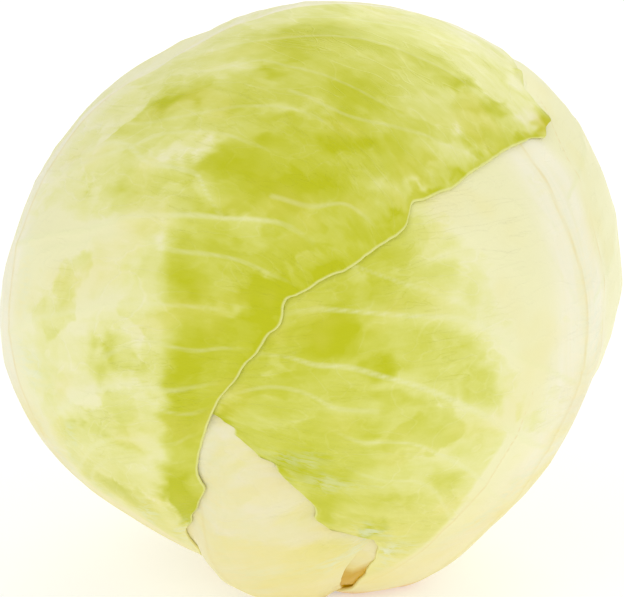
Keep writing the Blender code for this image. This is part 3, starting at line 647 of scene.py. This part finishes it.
def green_of_leaf_1(alpha, beta, over, edge):
    """Low on the right a step up in green past a boundary line, higher up a slow rise from the midrib, on
    the left a rise toward the edge, and at the right margin an exponential fall-off inward."""
    wide = np.abs(beta)
    upper = smooth_step(alpha, 110, 142)
    boundary = np.interp(
        alpha,
        (45, 51, 58, 64, 72, 84, 98, 103, 109, 115, 121, 126, 134),
        (35.8, 38.5, 41.0, 42.8, 45.8, 47.9, 48.6, 46, 43.7, 43.1, 42.2, 41.3, 42.0),
    )
    boundary = boundary + rolling(alpha, beta, 71, ((12, 1.3), (5, 0.7)))
    soft = 2.8 + 7 * np.exp(-(((alpha - 107) / 7) ** 2))
    low = 0.12 + 0.17 * smooth_step(wide, 5, 20) + 0.36 * smooth_step((wide - boundary) / soft, -0.3, 1)
    high = 0.36 + 0.20 * smooth_step(wide, 10, 38)
    right = low * (1 - upper) + high * upper + 0.09 * smooth_step(over, 0.4, 1) * upper
    right -= 0.08 * smooth_step(alpha, 184, 205)
    right -= 0.24 * smooth_step(alpha, 200, 211) * (1 - smooth_step(wide, 25, 34))
    left = 0.16 + 0.40 * smooth_step(wide, 14, 42)
    margin = 0.26 * np.exp(-edge / 4) * smooth_step(alpha, 60, 90) * (beta > 0)
    return np.where(beta > 0, right, left) + margin + 0.72 * marks_at(alpha, beta, LEAF_1_MARKS)


def green_of_leaf_2(alpha, beta, edge):
    """Low on the left a step up in green past a boundary line, higher up and on the right a rise toward the
    edge, and at the left margin an exponential fall-off inward."""
    wide = np.abs(beta)
    boundary = np.interp(
        alpha, (26, 33, 40, 48, 55, 61, 68, 77, 90), (24, 24.6, 23.2, 22.8, 22.6, 22.4, 21, 18, 13)
    )
    low = 0.04 + 0.36 * smooth_step(wide - boundary, -0.8, 1.6) + 0.20 * smooth_step(wide, 27, 54)
    high = 0.04 + 0.60 * smooth_step(wide, 13, 43)
    upper = smooth_step(alpha, 72, 92)
    left = low * (1 - upper) + high * upper
    right = 0.05 + 0.42 * smooth_step(wide, 24, 52)
    margin = 0.16 * np.exp(-edge / 4) * smooth_step(alpha, 50, 60) * (beta < 0)
    return np.where(beta < 0, left, right) + margin + 0.72 * marks_at(alpha, beta, LEAF_2_MARKS)


def green_of(number, alpha, beta, over, edge):
    """How green the leaf is, from 0 for cream to 1: a slow trend over the leaf, its marks and rolling."""
    mottle = rolling(alpha, beta, 40 + number, ((46, 0.13), (24, 0.10), (13, 0.07)))
    if number == 1:
        return green_of_leaf_1(alpha, beta, over, edge) + 0.35 * mottle
    if number == 2:
        return green_of_leaf_2(alpha, beta, edge) + 0.35 * mottle
    wide = np.abs(beta)
    if number == 4:
        return 0.24 + 0.15 * smooth_step(wide, 26, 50) + marks_at(alpha, beta, LEAF_4_MARKS) + 0.15 * mottle
    blade = smooth_step(wide, 12, 40) * smooth_step(alpha, 30, 80)
    if number == 3:
        return 0.10 + 0.46 * blade + mottle
    return 0.20 + 0.42 * blade + 0.8 * mottle


def grid_steps(count, edge_share):
    """An odd number of steps from 0 to 1 by a cubic, closer near 1, the last few a hair from the edge for
    its rounding."""
    extra = 1 - edge_share * np.array((3.2, 1.6, 0.7, 0.25, 0.0))
    steps = np.linspace(0, 1, count // 2 * 2 - 4, endpoint=False)
    return np.concatenate((extra[0] * (1.22 * steps - 0.22 * steps**3), extra))


def add_object(name, data):
    """An object at the origin, linked to the scene."""
    made = bpy.data.objects.new(name, data)
    bpy.context.scene.collection.objects.link(made)
    return made


def add_piece(name, mesh, finish, node):
    """A finished piece that rides the head in place of a CAD node."""
    mesh.materials.append(finish)
    made = add_object(name, mesh)
    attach(made, "root")
    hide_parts(node)


def closed_blade(name, outer, inner, values, sheet):
    """A closed leaf. The outer face is the whole grid of points, the inner face is every second row and
    column of its own grid, and round the rim each edge of the inner face meets two edges of the outer."""
    rows, columns = outer.shape[:2]
    count = rows * columns
    number = np.arange(count).reshape(rows, columns)
    few = count + np.arange((rows // 2 + 1) * (columns // 2 + 1)).reshape(rows // 2 + 1, columns // 2 + 1)
    front, behind = (
        np.stack((grid[:-1, :-1], grid[:-1, 1:], grid[1:, 1:], grid[1:, :-1]), -1).reshape(-1, 4)
        for grid in (number, few)
    )
    loop, small = (
        np.concatenate((grid[0, :-1], grid[:-1, -1], grid[-1, :0:-1], grid[:0:-1, 0]))
        for grid in (number, few)
    )
    rim = np.stack((np.roll(loop, -2)[::2], loop[1::2], loop[::2], small, np.roll(small, -1)), -1)
    points = np.concatenate((outer.reshape(-1, 3), inner[::2, ::2].reshape(-1, 3)))
    behind = behind[:, ::-1]
    corners = points[front]
    normal = np.cross(corners[:, 1] - corners[:, 0], corners[:, 3] - corners[:, 0])
    if (normal * (corners[:, 0] - HEAD_CENTRE * MM)).sum() < 0:
        front, behind, rim = front[:, ::-1], behind[:, ::-1], rim[:, ::-1]
    loops = np.concatenate((front.ravel(), behind.ravel(), rim.ravel())).astype(np.int32)
    starts = np.concatenate((
        np.arange(0, front.size + behind.size, 4), front.size + behind.size + np.arange(0, rim.size, 5)
    )).astype(np.int32)

    mesh = bpy.data.meshes.new(name)
    mesh.vertices.add(len(points))
    mesh.vertices.foreach_set("co", points.astype(np.float32).ravel())
    mesh.loops.add(len(loops))
    mesh.loops.foreach_set("vertex_index", loops)
    mesh.polygons.add(len(starts))
    mesh.polygons.foreach_set("loop_start", starts)
    mesh.update(calc_edges=True)
    mesh.validate()
    mesh.shade_smooth()
    for key, value in values.items():
        layer = mesh.attributes.new(key, "FLOAT", "POINT")
        both = np.concatenate((value.ravel(), value[::2, ::2].ravel()))
        layer.data.foreach_set("value", both.astype(np.float32))
    uv = mesh.uv_layers.new(name="blade")
    flat = np.concatenate((sheet.reshape(-1, 2), sheet[::2, ::2].reshape(-1, 2))).astype(np.float32)
    vertex = np.empty(len(mesh.loops), np.int32)
    mesh.loops.foreach_get("vertex_index", vertex)
    uv.data.foreach_set("uv", flat[vertex].ravel())
    return mesh


def blade_grid(leaf):
    """Along and across from -1 or 0 to 1 over the leaf, closer near its edges."""
    rows, left, right = leaf["grid"]
    across = np.concatenate((-grid_steps(left, 0.006)[:0:-1], grid_steps(right, 0.006)))
    across, along = np.meshgrid(across, grid_steps(rows, 0.0025))
    return along, across


def blade_distances(direction, across):
    """Distances in millimetres on the grid, as running sums of its steps: sideways from the midrib, to the
    nearer side, and to the nearest edge but the base."""
    flat = direction * HEAD_RADIUS
    row_step = np.linalg.norm(np.diff(flat, axis=1), axis=-1)
    travel = np.concatenate((np.zeros((len(flat), 1)), np.cumsum(row_step, axis=1)), axis=1)
    middle = travel[:, np.argmin(np.abs(across[0]))][:, None]
    to_side = np.minimum(travel, travel[:, -1:] - travel)
    column_step = np.linalg.norm(np.diff(flat, axis=0), axis=-1)
    rise = np.concatenate((np.zeros((1, flat.shape[1])), np.cumsum(column_step, axis=0)), axis=0)
    return travel - middle, to_side, np.minimum(to_side, rise[-1:] - rise)


def side_ribs_of(leaf, number):
    """The side ribs that the photograph shows on a leaf, and ribs by rule where it shows none."""
    if number == 1:
        return list(LEAF_1_RIBS) + side_ribs(leaf, -1, 48, 178, 9, 5)
    if number == 2:
        return list(LEAF_2_RIBS) + side_ribs(leaf, 1, 48, 170, 8, 6)
    return side_ribs(leaf, 1, 50, 168, 8, 19 + number) + side_ribs(leaf, -1, 50, 168, 8, 29 + number)


def midrib_share(leaf, number, alpha, beta):
    """How far a place belongs to the midrib or the thick foot, from 0 to 1: a bell across the midrib that
    weakens upward, or the foot's step in alpha where that is more."""
    half_width = np.interp(alpha, RIB_STATIONS, leaf["rib_half_widths"])
    narrowed = (0.7 if number == 1 else 0.95) * half_width
    bell = np.exp(-((beta * MM_PER_DEGREE / narrowed) ** 2))
    foot = 1 - smooth_step(alpha, 24, 44)
    if number == 2:
        foot = foot * (1 - smooth_step(-beta, 21, 25))
    return np.maximum(bell * np.interp(alpha, (20, 60, 120, 170, 210), (1.0, 0.95, 0.6, 0.35, 0.1)), foot)


def lifted_tip(alpha, beta):
    """Height of the curled tip flap of leaf_1 and the small lip beside it: a bell for each."""
    flap = 1.5 * np.exp(-(((alpha - 225) / 3.2) ** 2 + ((beta - 26) / 2.6) ** 2))
    return flap + 1.4 * np.exp(-(((alpha - 218) / 1.2) ** 2 + ((beta - 16) / 1.6) ** 2))


def rested(number, alpha, beta, edge, direction, inner):
    """The inner face brought down to the leaf under it near the places in RESTS, by a flat-topped bell of the
    angle from each place that ends a few millimetres inside the margin, and how far it is brought down."""
    rest = np.zeros(inner.shape)
    for under, rest_alpha, rest_beta, reach in RESTS.get(number, ()):
        weight = np.exp(-((((alpha - rest_alpha) ** 2 + (beta - rest_beta) ** 2) / reach**2) ** 2))
        weight *= 1 - smooth_step(edge, 1.5, 3.5)
        near = weight > 0.01
        touch = leaf_layer(under, direction[near])[0] + 0.1
        inner[near] += np.minimum(touch - inner[near], 0) * weight[near]
        rest = np.maximum(rest, weight)
    return inner, rest


def rounded_margin(edge, outer, inner, rest):
    """Both faces drawn together at the edge by a quarter circle of the distance from it, the inner one less
    where it rests on another leaf."""
    share = np.clip(edge / EDGE_ROUNDING, 0, 1)
    share = 1 - np.sqrt(np.clip(1 - (1 - share) ** 2, 0, 1))
    slim = np.minimum(outer - inner, BLADE) * (0.46 * share)
    return outer - slim, inner + slim * (1 - rest)


def dress_leaf(index, finish):
    """One wrapper leaf as a fine grid, in place of its CAD node: its layer of the head, raised by ribs,
    crests, puckers and a fluttered margin, thinned toward the margin, and rested and rounded there."""
    leaf = LEAVES[index]
    number = index + 1
    along, across = blade_grid(leaf)
    alpha, beta = leaf_sheet(leaf, along, across)
    direction = leaf_direction(leaf, alpha, beta)
    side_way, to_side, edge = blade_distances(direction, across)
    outer, inner, bare, over = leaf_layer(index, direction, to_side)
    away, force = nearest_rib(leaf, direction, side_ribs_of(leaf, number))
    force = force * smooth_step(alpha, 26, 46)
    crest, crest_force = nearest_rib(leaf, direction, CRESTS.get(number, PLAIN_CREST))
    rib = midrib_share(leaf, number, alpha, beta)

    pucker = rolling(alpha, beta, 60 + number, ((34, 0.32), (17, 0.14), (8, 0.05)))
    relief = force * (0.20 * np.exp(-((away / 1.7) ** 2)) + 0.34 * np.exp(-((away / 4.5) ** 2)))
    relief += 0.5 * crest_force * np.exp(-((crest / 1.6) ** 2)) + pucker * (1 - 0.7 * rib)
    near_margin = 1 - smooth_step(edge, 0, 9)
    flutter = 0.34 * near_margin * (1 + np.sin(2 * math.pi * 16 * along + leaf["phase"]))
    outer = outer + bare * (relief * smooth_step(edge, 0.5, 7) + flutter * smooth_step(alpha, 46, 62))
    if number == 1:
        lift = lifted_tip(alpha, beta)
        outer, inner = outer + lift, inner + lift
    outer = outer - (outer - inner) * 0.42 * near_margin * smooth_step(along, 0.05, 0.15)
    inner, rest = rested(number, alpha, beta, edge, direction, inner)
    outer, inner = rounded_margin(edge, outer, inner, rest)

    # stains: in the hollow of the slit partly painted shade, and all of them painted to glow
    stain = marks_at(alpha, beta, STAINS_AND_PAINTED_LIGHT.get(number, ()))
    values = {
        "green": green_of(number, alpha, beta, over, edge),
        "rib": rib,
        "away": away,
        "force": force,
        "crest": crest / np.maximum(crest_force, 0.2),
        "edge": np.minimum(edge + 8 * stain, 12),
        "bloom": marks_at(alpha, beta, BLOOMS.get(number, ())) + 0.3 * rib,
        "stain": stain,
        "straw": LEAF_STRAW[index] + marks_at(alpha, beta, STRAWS.get(number, ())),
    }
    sheet = np.stack((side_way, along * (leaf["tip"] - BASE_ANGLE) * MM_PER_DEGREE), -1) / 10
    name = f"cabbage_{leaf['name']}"
    mesh = closed_blade(name, placed(direction, outer), placed(direction, inner), values, sheet)
    add_piece(name, mesh, finish, leaf["name"])


# Finishes


class Value:
    """A value on its way through a material's nodes. Arithmetic on it adds Math nodes."""

    def __init__(self, finish, socket):
        self.finish = finish
        self.socket = socket

    def _with(self, operation, first, second):
        return self.finish.node("ShaderNodeMath", {"operation": operation}, {0: first, 1: second})

    def __add__(self, other):
        return self._with("ADD", self, other)

    def __radd__(self, other):
        return self._with("ADD", other, self)

    def __sub__(self, other):
        return self._with("SUBTRACT", self, other)

    def __rsub__(self, other):
        return self._with("SUBTRACT", other, self)

    def __mul__(self, other):
        return self._with("MULTIPLY", self, other)

    def __rmul__(self, other):
        return self._with("MULTIPLY", other, self)

    def __truediv__(self, other):
        return self._with("DIVIDE", self, other)

    def __pow__(self, other):
        return self._with("POWER", self, other)

    def size(self):
        """The value without its sign."""
        return self.finish.node("ShaderNodeMath", {"operation": "ABSOLUTE"}, {0: self})

    def least(self, other):
        return self._with("MINIMUM", self, other)

    def most(self, other):
        return self._with("MAXIMUM", self, other)

    def rising(self, low, high):
        """0 below low and 1 above high, smooth between."""
        settings = {"interpolation_type": "SMOOTHSTEP"}
        return self.finish.node("ShaderNodeMapRange", settings, {0: self, 1: low, 2: high, 3: 0.0, 4: 1.0})


def set_stops(elements, stops):
    """A ramp's stops as positions and colours, over the two that it starts with."""
    while len(elements) < len(stops):
        elements.new(0.5)
    for element, (position, colour) in zip(elements, stops):
        element.position = position
        element.color = colour


class Finish:
    """A material on Principled BSDF, with one method that adds any node."""

    def __init__(self, name, **constants):
        self.material = bpy.data.materials.new(name)
        self.material.use_nodes = True
        self.tree = self.material.node_tree
        self.shader = self.tree.nodes["Principled BSDF"]
        for key, value in constants.items():
            self.shader.inputs[key.replace("_", " ")].default_value = value

    def node(self, kind, settings, inputs, output=0):
        """Any node: its settings first, a ramp's stops among them, then its sockets' values or links."""
        made = self.tree.nodes.new(kind)
        for key, value in settings.items():
            if key == "stops":
                set_stops(made.color_ramp.elements, value)
            else:
                setattr(made, key, value)
        for key, value in inputs.items():
            self.put(made.inputs[key], value)
        return Value(self, made.outputs[output])

    def put(self, socket, value):
        """A link from a value's socket, or a constant."""
        if isinstance(value, Value):
            self.tree.links.new(value.socket, socket)
        else:
            socket.default_value = value

    def attribute(self, name):
        """A value that the mesh holds at its points."""
        return self.node("ShaderNodeAttribute", {"attribute_name": name}, {}, "Fac")

    def blade_place(self, across, along, seed):
        """Place on the blade in centimetres, stretched, and moved by a seed."""
        place = self.node("ShaderNodeUVMap", {"uv_map": "blade"}, {})
        moved = {0: place, "Location": (seed, 0.37 * seed, 0.0), "Scale": (across, along, 1.0)}
        return self.node("ShaderNodeMapping", {}, moved)

    def object_place(self, scale):
        """Place in metres on Object coordinates, stretched."""
        place = self.node("ShaderNodeTexCoord", {}, {}, "Object")
        return self.node("ShaderNodeMapping", {}, {0: place, "Scale": scale})

    def noise(self, place, scale, detail=2.0, roughness=0.5, distortion=0.0, output="Fac"):
        inputs = {"Vector": place, "Scale": scale, "Detail": detail}
        inputs.update({"Roughness": roughness, "Distortion": distortion})
        return self.node("ShaderNodeTexNoise", {}, inputs, output)

    def blade_noise(self, across, along, seed, detail=2.0, roughness=0.5, distortion=0.0):
        """Noise on the blade, with features about a centimetre over across and along in size."""
        return self.noise(self.blade_place(across, along, seed), 1.0, detail, roughness, distortion)

    def line_at(self, pattern, level, width):
        """1 where a pattern passes a level, falling to 0 within a width of it."""
        return 1.0 - (pattern - level).size().rising(0.0, width)

    def bump(self, strength, distance, height):
        """Fine relief on the shader's normal."""
        relief = {"Strength": strength, "Distance": distance, "Height": height}
        self.put(self.shader.inputs["Normal"], self.node("ShaderNodeBump", {}, relief))

    def mix(self, factor, first, second):
        return self.node("ShaderNodeMix", {"data_type": "RGBA"}, {0: factor, 6: first, 7: second}, 2)

    def ramp(self, factor, stops):
        return self.node("ShaderNodeValToRGB", {"stops": stops}, {0: factor})


def tone(red, green, blue):
    """A colour as it looks on screen, from 0 to 255, made linear."""
    parts = (((v / 255 + 0.055) / 1.055) ** 2.4 if v > 10 else v / 255 / 12.92 for v in (red, green, blue))
    return (*parts, 1.0)


GREENS = (
    (0.0, tone(249, 244, 214)),
    (0.14, tone(244, 241, 192)),
    (0.30, tone(236, 235, 160)),
    (0.46, tone(225, 226, 126)),
    (0.62, tone(214, 216, 92)),
    (0.78, tone(204, 207, 58)),
    (1.0, tone(195, 199, 10)),
)


def leaf_finish(name, seed):
    """Waxy leaf: cream ribs, yellow-green blade, fine veins, bloom, a browned cut at the floor, a pale margin
    line that is partly painted highlight, and golden stains that are partly painted shade and painted to
    glow.
    """
    leaf = Finish(name, Roughness=0.42, IOR=1.42, Specular_IOR_Level=0.35, Emission_Strength=0.3)
    green, rib, away, force = (leaf.attribute(key) for key in ("green", "rib", "away", "force"))
    crest, edge, bloom, stain = (leaf.attribute(key) for key in ("crest", "edge", "bloom", "stain"))
    straw = leaf.attribute("straw")

    bend = leaf.noise(leaf.blade_place(0.9, 0.9, seed), 1.0, 3.0, output="Color")
    bend = leaf.node("ShaderNodeVectorMath", {"operation": "SCALE"}, {0: bend, "Scale": 1.1})
    place = leaf.blade_place(0.42, 0.62, seed)
    place = leaf.node("ShaderNodeVectorMath", {"operation": "ADD"}, {0: place, 1: bend})
    cells = {"Vector": place, "Scale": 1.0, "Smoothness": 0.18, "Randomness": 1.0}
    cell = leaf.node("ShaderNodeTexVoronoi", {"feature": "SMOOTH_F1"}, cells, "Color")

    cloud = leaf.blade_noise(0.30, 0.55, seed, 4.0, 0.55, 0.8)
    streak = leaf.blade_noise(0.5, 2.6, seed + 5, 3.0, 0.5, 0.8)
    grain = leaf.noise(leaf.blade_place(1.0, 1.0, seed), 14.0, 3.0, 0.6)
    patch = leaf.blade_noise(0.35, 0.35, seed + 11, 1.0).rising(0.42, 0.62)
    net = leaf.line_at(leaf.blade_noise(0.55, 0.95, seed + 9, 2.0, 0.45, 0.5), 0.5, 0.02)
    fine_net = leaf.line_at(leaf.blade_noise(1.5, 2.1, seed + 3, 1.5, 0.45, 0.4), 0.5, 0.03) * patch
    crease = leaf.line_at(leaf.blade_noise(0.45, 2.6, seed + 14, 2.0, 0.45, 1.0), 0.46, 0.010) * patch
    uneven = leaf.blade_noise(0.7, 0.7, seed + 51, 2.0)
    vein = (1.0 - (away + (uneven - 0.5) * 1.2).rising(0.0, 1.5)) * force * (0.25 + uneven * 1.5)
    band = (1.0 - away.rising(0.6, 5.5)) * force

    speckle = leaf.blade_noise(1.6, 2.4, seed + 17, 3.0, 0.55, 0.4)
    amount = green + (cloud - 0.5) * 0.20 + (cell - 0.5) * 0.28 + (streak - 0.5) * 0.16
    amount = amount + (speckle - 0.5) * 0.20 + (grain - 0.5) * 0.06 - band * 0.10
    amount = amount - net * 0.06 - fine_net * 0.04 + crease * 0.07
    amount = amount.most(0.15 - rib * 0.2) - rib * 0.28
    colour = leaf.ramp(amount, GREENS)
    colour = leaf.mix((vein * 0.66).least(0.8), colour, tone(240, 240, 186))

    fibre = leaf.blade_noise(3.4, 0.16, seed + 41, 3.0, 0.55, 0.3)
    colour = leaf.mix(rib * fibre.rising(0.46, 0.66) * 0.45, colour, tone(240, 236, 176))
    colour = leaf.mix(rib * (1.0 - fibre.rising(0.34, 0.5)) * 0.35, colour, tone(232, 236, 196))
    colour = leaf.mix((1.0 - crest.rising(1.0, 9.0)) * 0.26, colour, tone(244, 239, 190))
    colour = leaf.mix((1.0 - crest.rising(0.4, 3.2)) * 0.50, colour, tone(236, 218, 150))

    yellow = leaf.blade_noise(0.5, 0.5, seed + 31, 2.0).rising(0.5, 0.72)
    colour = leaf.mix(yellow * 0.22, colour, tone(240, 226, 122))
    dry = leaf.mix(cloud.rising(0.36, 0.62), tone(238, 229, 196), tone(238, 224, 140))
    colour = leaf.mix(((yellow * 0.3 + 0.85) * straw).least(0.9), colour, dry)
    flake = leaf.blade_noise(1.6, 6.0, seed + 21, 4.0, 0.65, 0.5).rising(0.40, 0.56)
    colour = leaf.mix((bloom * flake * 0.6).least(0.9), colour, tone(230, 239, 216))
    # pale line along every margin: partly the margin's own paler tone, partly a painted highlight on its lit
    # rim
    colour = leaf.mix((1.0 - edge.rising(0.2, 0.9)) * 0.62, colour, tone(242, 242, 172))

    place = leaf.object_place((1.0, 1.0, 1.0))
    height = leaf.node("ShaderNodeSeparateXYZ", {}, {0: place}, 2)
    blush = leaf.noise(place, 130.0, 3.0)
    low = (1.0 - height.rising(0.004, 0.068)) * (0.5 - 0.4 * amount.rising(0.5, 1.0))
    colour = leaf.mix(low, colour, tone(242, 226, 134))
    colour = leaf.mix((1.0 - height.rising(0.0015, 0.0060)) * 0.5, colour, tone(246, 204, 134))
    cut = 1.0 - (height + (blush - 0.5) * 0.0012).rising(0.0006, 0.0020)
    colour = leaf.mix(cut * 0.6, colour, tone(230, 172, 108))
    # golden-brown stains, partly the leaves' own browning and partly painted shade in the hollow of the slit
    # by the stem
    colour = leaf.mix(stain.least(1.0), colour, tone(178, 138, 0))
    leaf.put(leaf.shader.inputs["Base Color"], colour)
    # painted glow: the stained places emit a golden light at the shader's emission strength, standing in for
    # light through the thin leaves in the hollow by the stem
    painted_glow = leaf.mix(stain.least(1.0), (0.0, 0.0, 0.0, 1.0), tone(202, 160, 0))
    leaf.put(leaf.shader.inputs["Emission Color"], painted_glow)

    roughness = 0.40 + (streak - 0.5) * 0.18 + bloom * 0.12 - vein * 0.05
    leaf.put(leaf.shader.inputs["Roughness"], roughness.least(0.75))
    height = net * 0.3 + fine_net * 0.15 + streak * 0.4 + grain * 0.2 - crease * 0.35 + flake * bloom * 0.3
    leaf.bump(0.5, 0.0003, height)
    return leaf.material


def heart_finish():
    """Tightly packed inner leaves: cream with soft pale streaks from pole to pole."""
    heart = Finish("heart_leaves", Roughness=0.5, IOR=1.42)
    streak = heart.noise(heart.object_place((60.0, 60.0, 14.0)), 1.0, 4.0, 0.55)
    colour = heart.mix(streak, tone(246, 240, 208), tone(232, 230, 166))
    heart.put(heart.shader.inputs["Base Color"], colour)
    heart.bump(0.4, 0.0005, streak)
    return heart.material


def stem_finish():
    """Cut stem: a browned, drying face with a darker rim and rings, and pale green-cream sides."""
    stem = Finish("stem_flesh", Roughness=0.62, IOR=1.4)
    place = stem.object_place((1.0, 1.0, 1.0))
    x, y, z = (stem.node("ShaderNodeSeparateXYZ", {}, {0: place}, part) for part in range(3))
    radius = (x * x + y * y) ** 0.5
    grain = stem.noise(place, 260.0, 4.0, 0.6)
    ring = 1.0 - (radius + (grain - 0.5) * 0.0012 - 0.0135).size().rising(0.0004, 0.0016)
    rim = (radius + (grain - 0.5) * 0.002).rising(0.0195, 0.0232)
    face = stem.mix(grain.rising(0.3, 0.7), tone(233, 208, 158), tone(214, 178, 120))
    face = stem.mix(ring * 0.5, face, tone(196, 150, 88))
    face = stem.mix(rim * 0.75, face, tone(214, 150, 92))
    side = stem.mix(grain, tone(240, 234, 196), tone(222, 222, 160))
    cut = 1.0 - (z + (grain - 0.5) * 0.0012).rising(0.0006, 0.0022)
    stem.put(stem.shader.inputs["Base Color"], stem.mix(cut, side, face))
    stem.bump(0.5, 0.0004, grain)
    return stem.material


# Radius and height of the stem, from the top of the core down to the cut
STEM_PROFILE = (
    (0.0, 66.0), (2.2, 65.8), (3.5, 64.8), (8.0, 60.0), (13.0, 42.0), (17.0, 21.5), (18.8, 17.0),
    (20.3, 12.0), (21.8, 7.0), (22.8, 3.2), (23.0, 1.6), (22.9, 0.6), (22.4, 0.1), (21.6, 0.0),
    (14.2, 0.02), (13.4, 0.12), (12.6, 0.02), (0.0, 0.0),
)
STEM_TURNS = 180


def stem_points():
    """The stem turned about the z axis, ring by ring: radius and height along the profile, the radius
    swelling by a sum of cosines into the lobes where the stalks were cut, and knife marks as sines across
    the face."""
    profile = np.array(STEM_PROFILE)
    steps = np.linalg.norm(np.diff(profile, axis=0), axis=1)
    share = np.concatenate(((0.0,), np.cumsum(steps))) / steps.sum()
    amount = np.unique(np.concatenate((np.linspace(0, 1, 90), share)))
    radius, height = (np.interp(amount, share, profile[:, part]) for part in (0, 1))
    turn = np.linspace(0, 2 * math.pi, STEM_TURNS, endpoint=False)
    radius, turn = np.meshgrid(radius, turn, indexing="ij")
    height = np.broadcast_to(height[:, None], radius.shape)
    lobes = 0.35 * np.cos(5 * turn + 0.6) + 0.2 * np.cos(8 * turn + 1.9) + 0.1 * np.cos(21 * turn)
    radius = radius + (lobes - 0.5) * (radius / 23) ** 3
    x, y = radius * np.cos(turn), radius * np.sin(turn)
    face = smooth_step(-height, -0.4, -0.02) * smooth_step(-radius, -22, -20.5)
    knife = 0.05 * (1 + np.sin(2.1 * x + 0.6 * y + np.sin(0.8 * y)))
    return np.stack((x, y, height + face * knife), -1)


def dress_stem(finish):
    """The stem in place of its CAD node: quads between the rings, and fans of triangles to one point at the
    top and one in the middle of the cut."""
    rings = stem_points()
    points = np.concatenate((rings[0, :1], rings[1:-1].reshape(-1, 3), rings[-1, :1]))
    number = 1 + np.arange(len(points) - 2).reshape(-1, STEM_TURNS)
    after = np.roll(number, -1, axis=1)
    quads = np.stack((number[:-1], number[1:], after[1:], after[:-1]), -1).reshape(-1, 4)
    top = np.stack((np.zeros(STEM_TURNS, int), number[0], after[0]), -1)
    foot = np.stack((np.full(STEM_TURNS, len(points) - 1), after[-1], number[-1]), -1)
    mesh = bpy.data.meshes.new("cabbage_stem")
    mesh.from_pydata((points * MM).tolist(), [], quads.tolist() + top.tolist() + foot.tolist())
    mesh.validate()
    mesh.shade_smooth()
    add_piece("cabbage_stem", mesh, finish, "stem")


# Studio, with its middle at the head's, in metres and degrees
STUDIO_MIDDLE = (0.0, 0.0, 0.085)
FLOOR_HALF = 3.0
LAMPS = (
    ("window_left", (-0.8, -0.9, 1.15), 0.9, 3.2),
    ("window_right", (1.1, -0.7, 0.75), 0.9, 2.3),
    ("window_back", (0.4, 1.0, 0.9), 1.0, 4.0),
)
AIR_STRENGTH = 0.72
CAMERA_TARGET = (-0.0025, 0.0, 0.0825)
CAMERA_ELEVATION = 17.0
CAMERA_DISTANCE = 0.80
LENS = 158.5


def build_floor():
    """A flat square of pale paper under the head."""
    half = FLOOR_HALF
    corners = [(-half, -half, 0), (half, -half, 0), (half, half, 0), (-half, half, 0)]
    mesh = bpy.data.meshes.new("studio_floor")
    mesh.from_pydata(corners, [], [(0, 1, 2, 3)])
    floor = add_object("studio_floor", mesh)
    paper = Finish("studio_paper", Roughness=0.9, Emission_Color=(1.0, 1.0, 1.0, 1.0), Emission_Strength=0.42)
    grain = paper.noise(paper.object_place((1.0, 1.0, 1.0)), 400.0, 2.0)
    paper.put(paper.shader.inputs["Base Color"], paper.mix(grain, tone(212, 212, 212), tone(216, 216, 216)))
    mesh.materials.append(paper.material)


def build_light():
    """White air and three round soft lamps, each turned to the studio's middle."""
    world = bpy.data.worlds.new("studio_air")
    bpy.context.scene.world = world
    world.use_nodes = True
    air = world.node_tree.nodes["Background"]
    air.inputs["Color"].default_value = (1.0, 1.0, 1.0, 1.0)
    air.inputs["Strength"].default_value = AIR_STRENGTH
    for name, place, size, power in LAMPS:
        light = bpy.data.lights.new(name, "AREA")
        light.shape = "DISK"
        light.size = size
        light.energy = power
        lamp = add_object(name, light)
        lamp.location = place
        lamp.rotation_euler = (Vector(STUDIO_MIDDLE) - Vector(place)).to_track_quat("-Z", "Y").to_euler()


def build_camera():
    """A long lens in front of the head, its axis down by the elevation."""
    elevation = math.radians(CAMERA_ELEVATION)
    back = Vector((0.0, -math.cos(elevation), math.sin(elevation)))
    right = Vector((1.0, 0.0, 0.0))
    turn = Matrix((right, back.cross(right), back)).transposed().to_4x4()
    turn.translation = Vector(CAMERA_TARGET) + back * CAMERA_DISTANCE
    lens = bpy.data.cameras.new("photo_view")
    lens.lens = LENS
    lens.sensor_width = 36.0
    lens.clip_start = 0.01
    camera = add_object("photo_view", lens)
    camera.matrix_world = turn
    bpy.context.scene.camera = camera


def main():
    """The studio, then the leaves from the outermost inward, the stem, and the heart's finish."""
    bpy.context.scene.view_settings.view_transform = "Standard"
    build_floor()
    build_light()
    build_camera()
    for index in range(len(LEAVES)):
        dress_leaf(index, leaf_finish(f"leaf_skin_{index + 1}", 3.7 * index))
    dress_stem(stem_finish())
    material = heart_finish()
    for slot in bpy.data.objects["heart"].material_slots:
        slot.material = material


main()
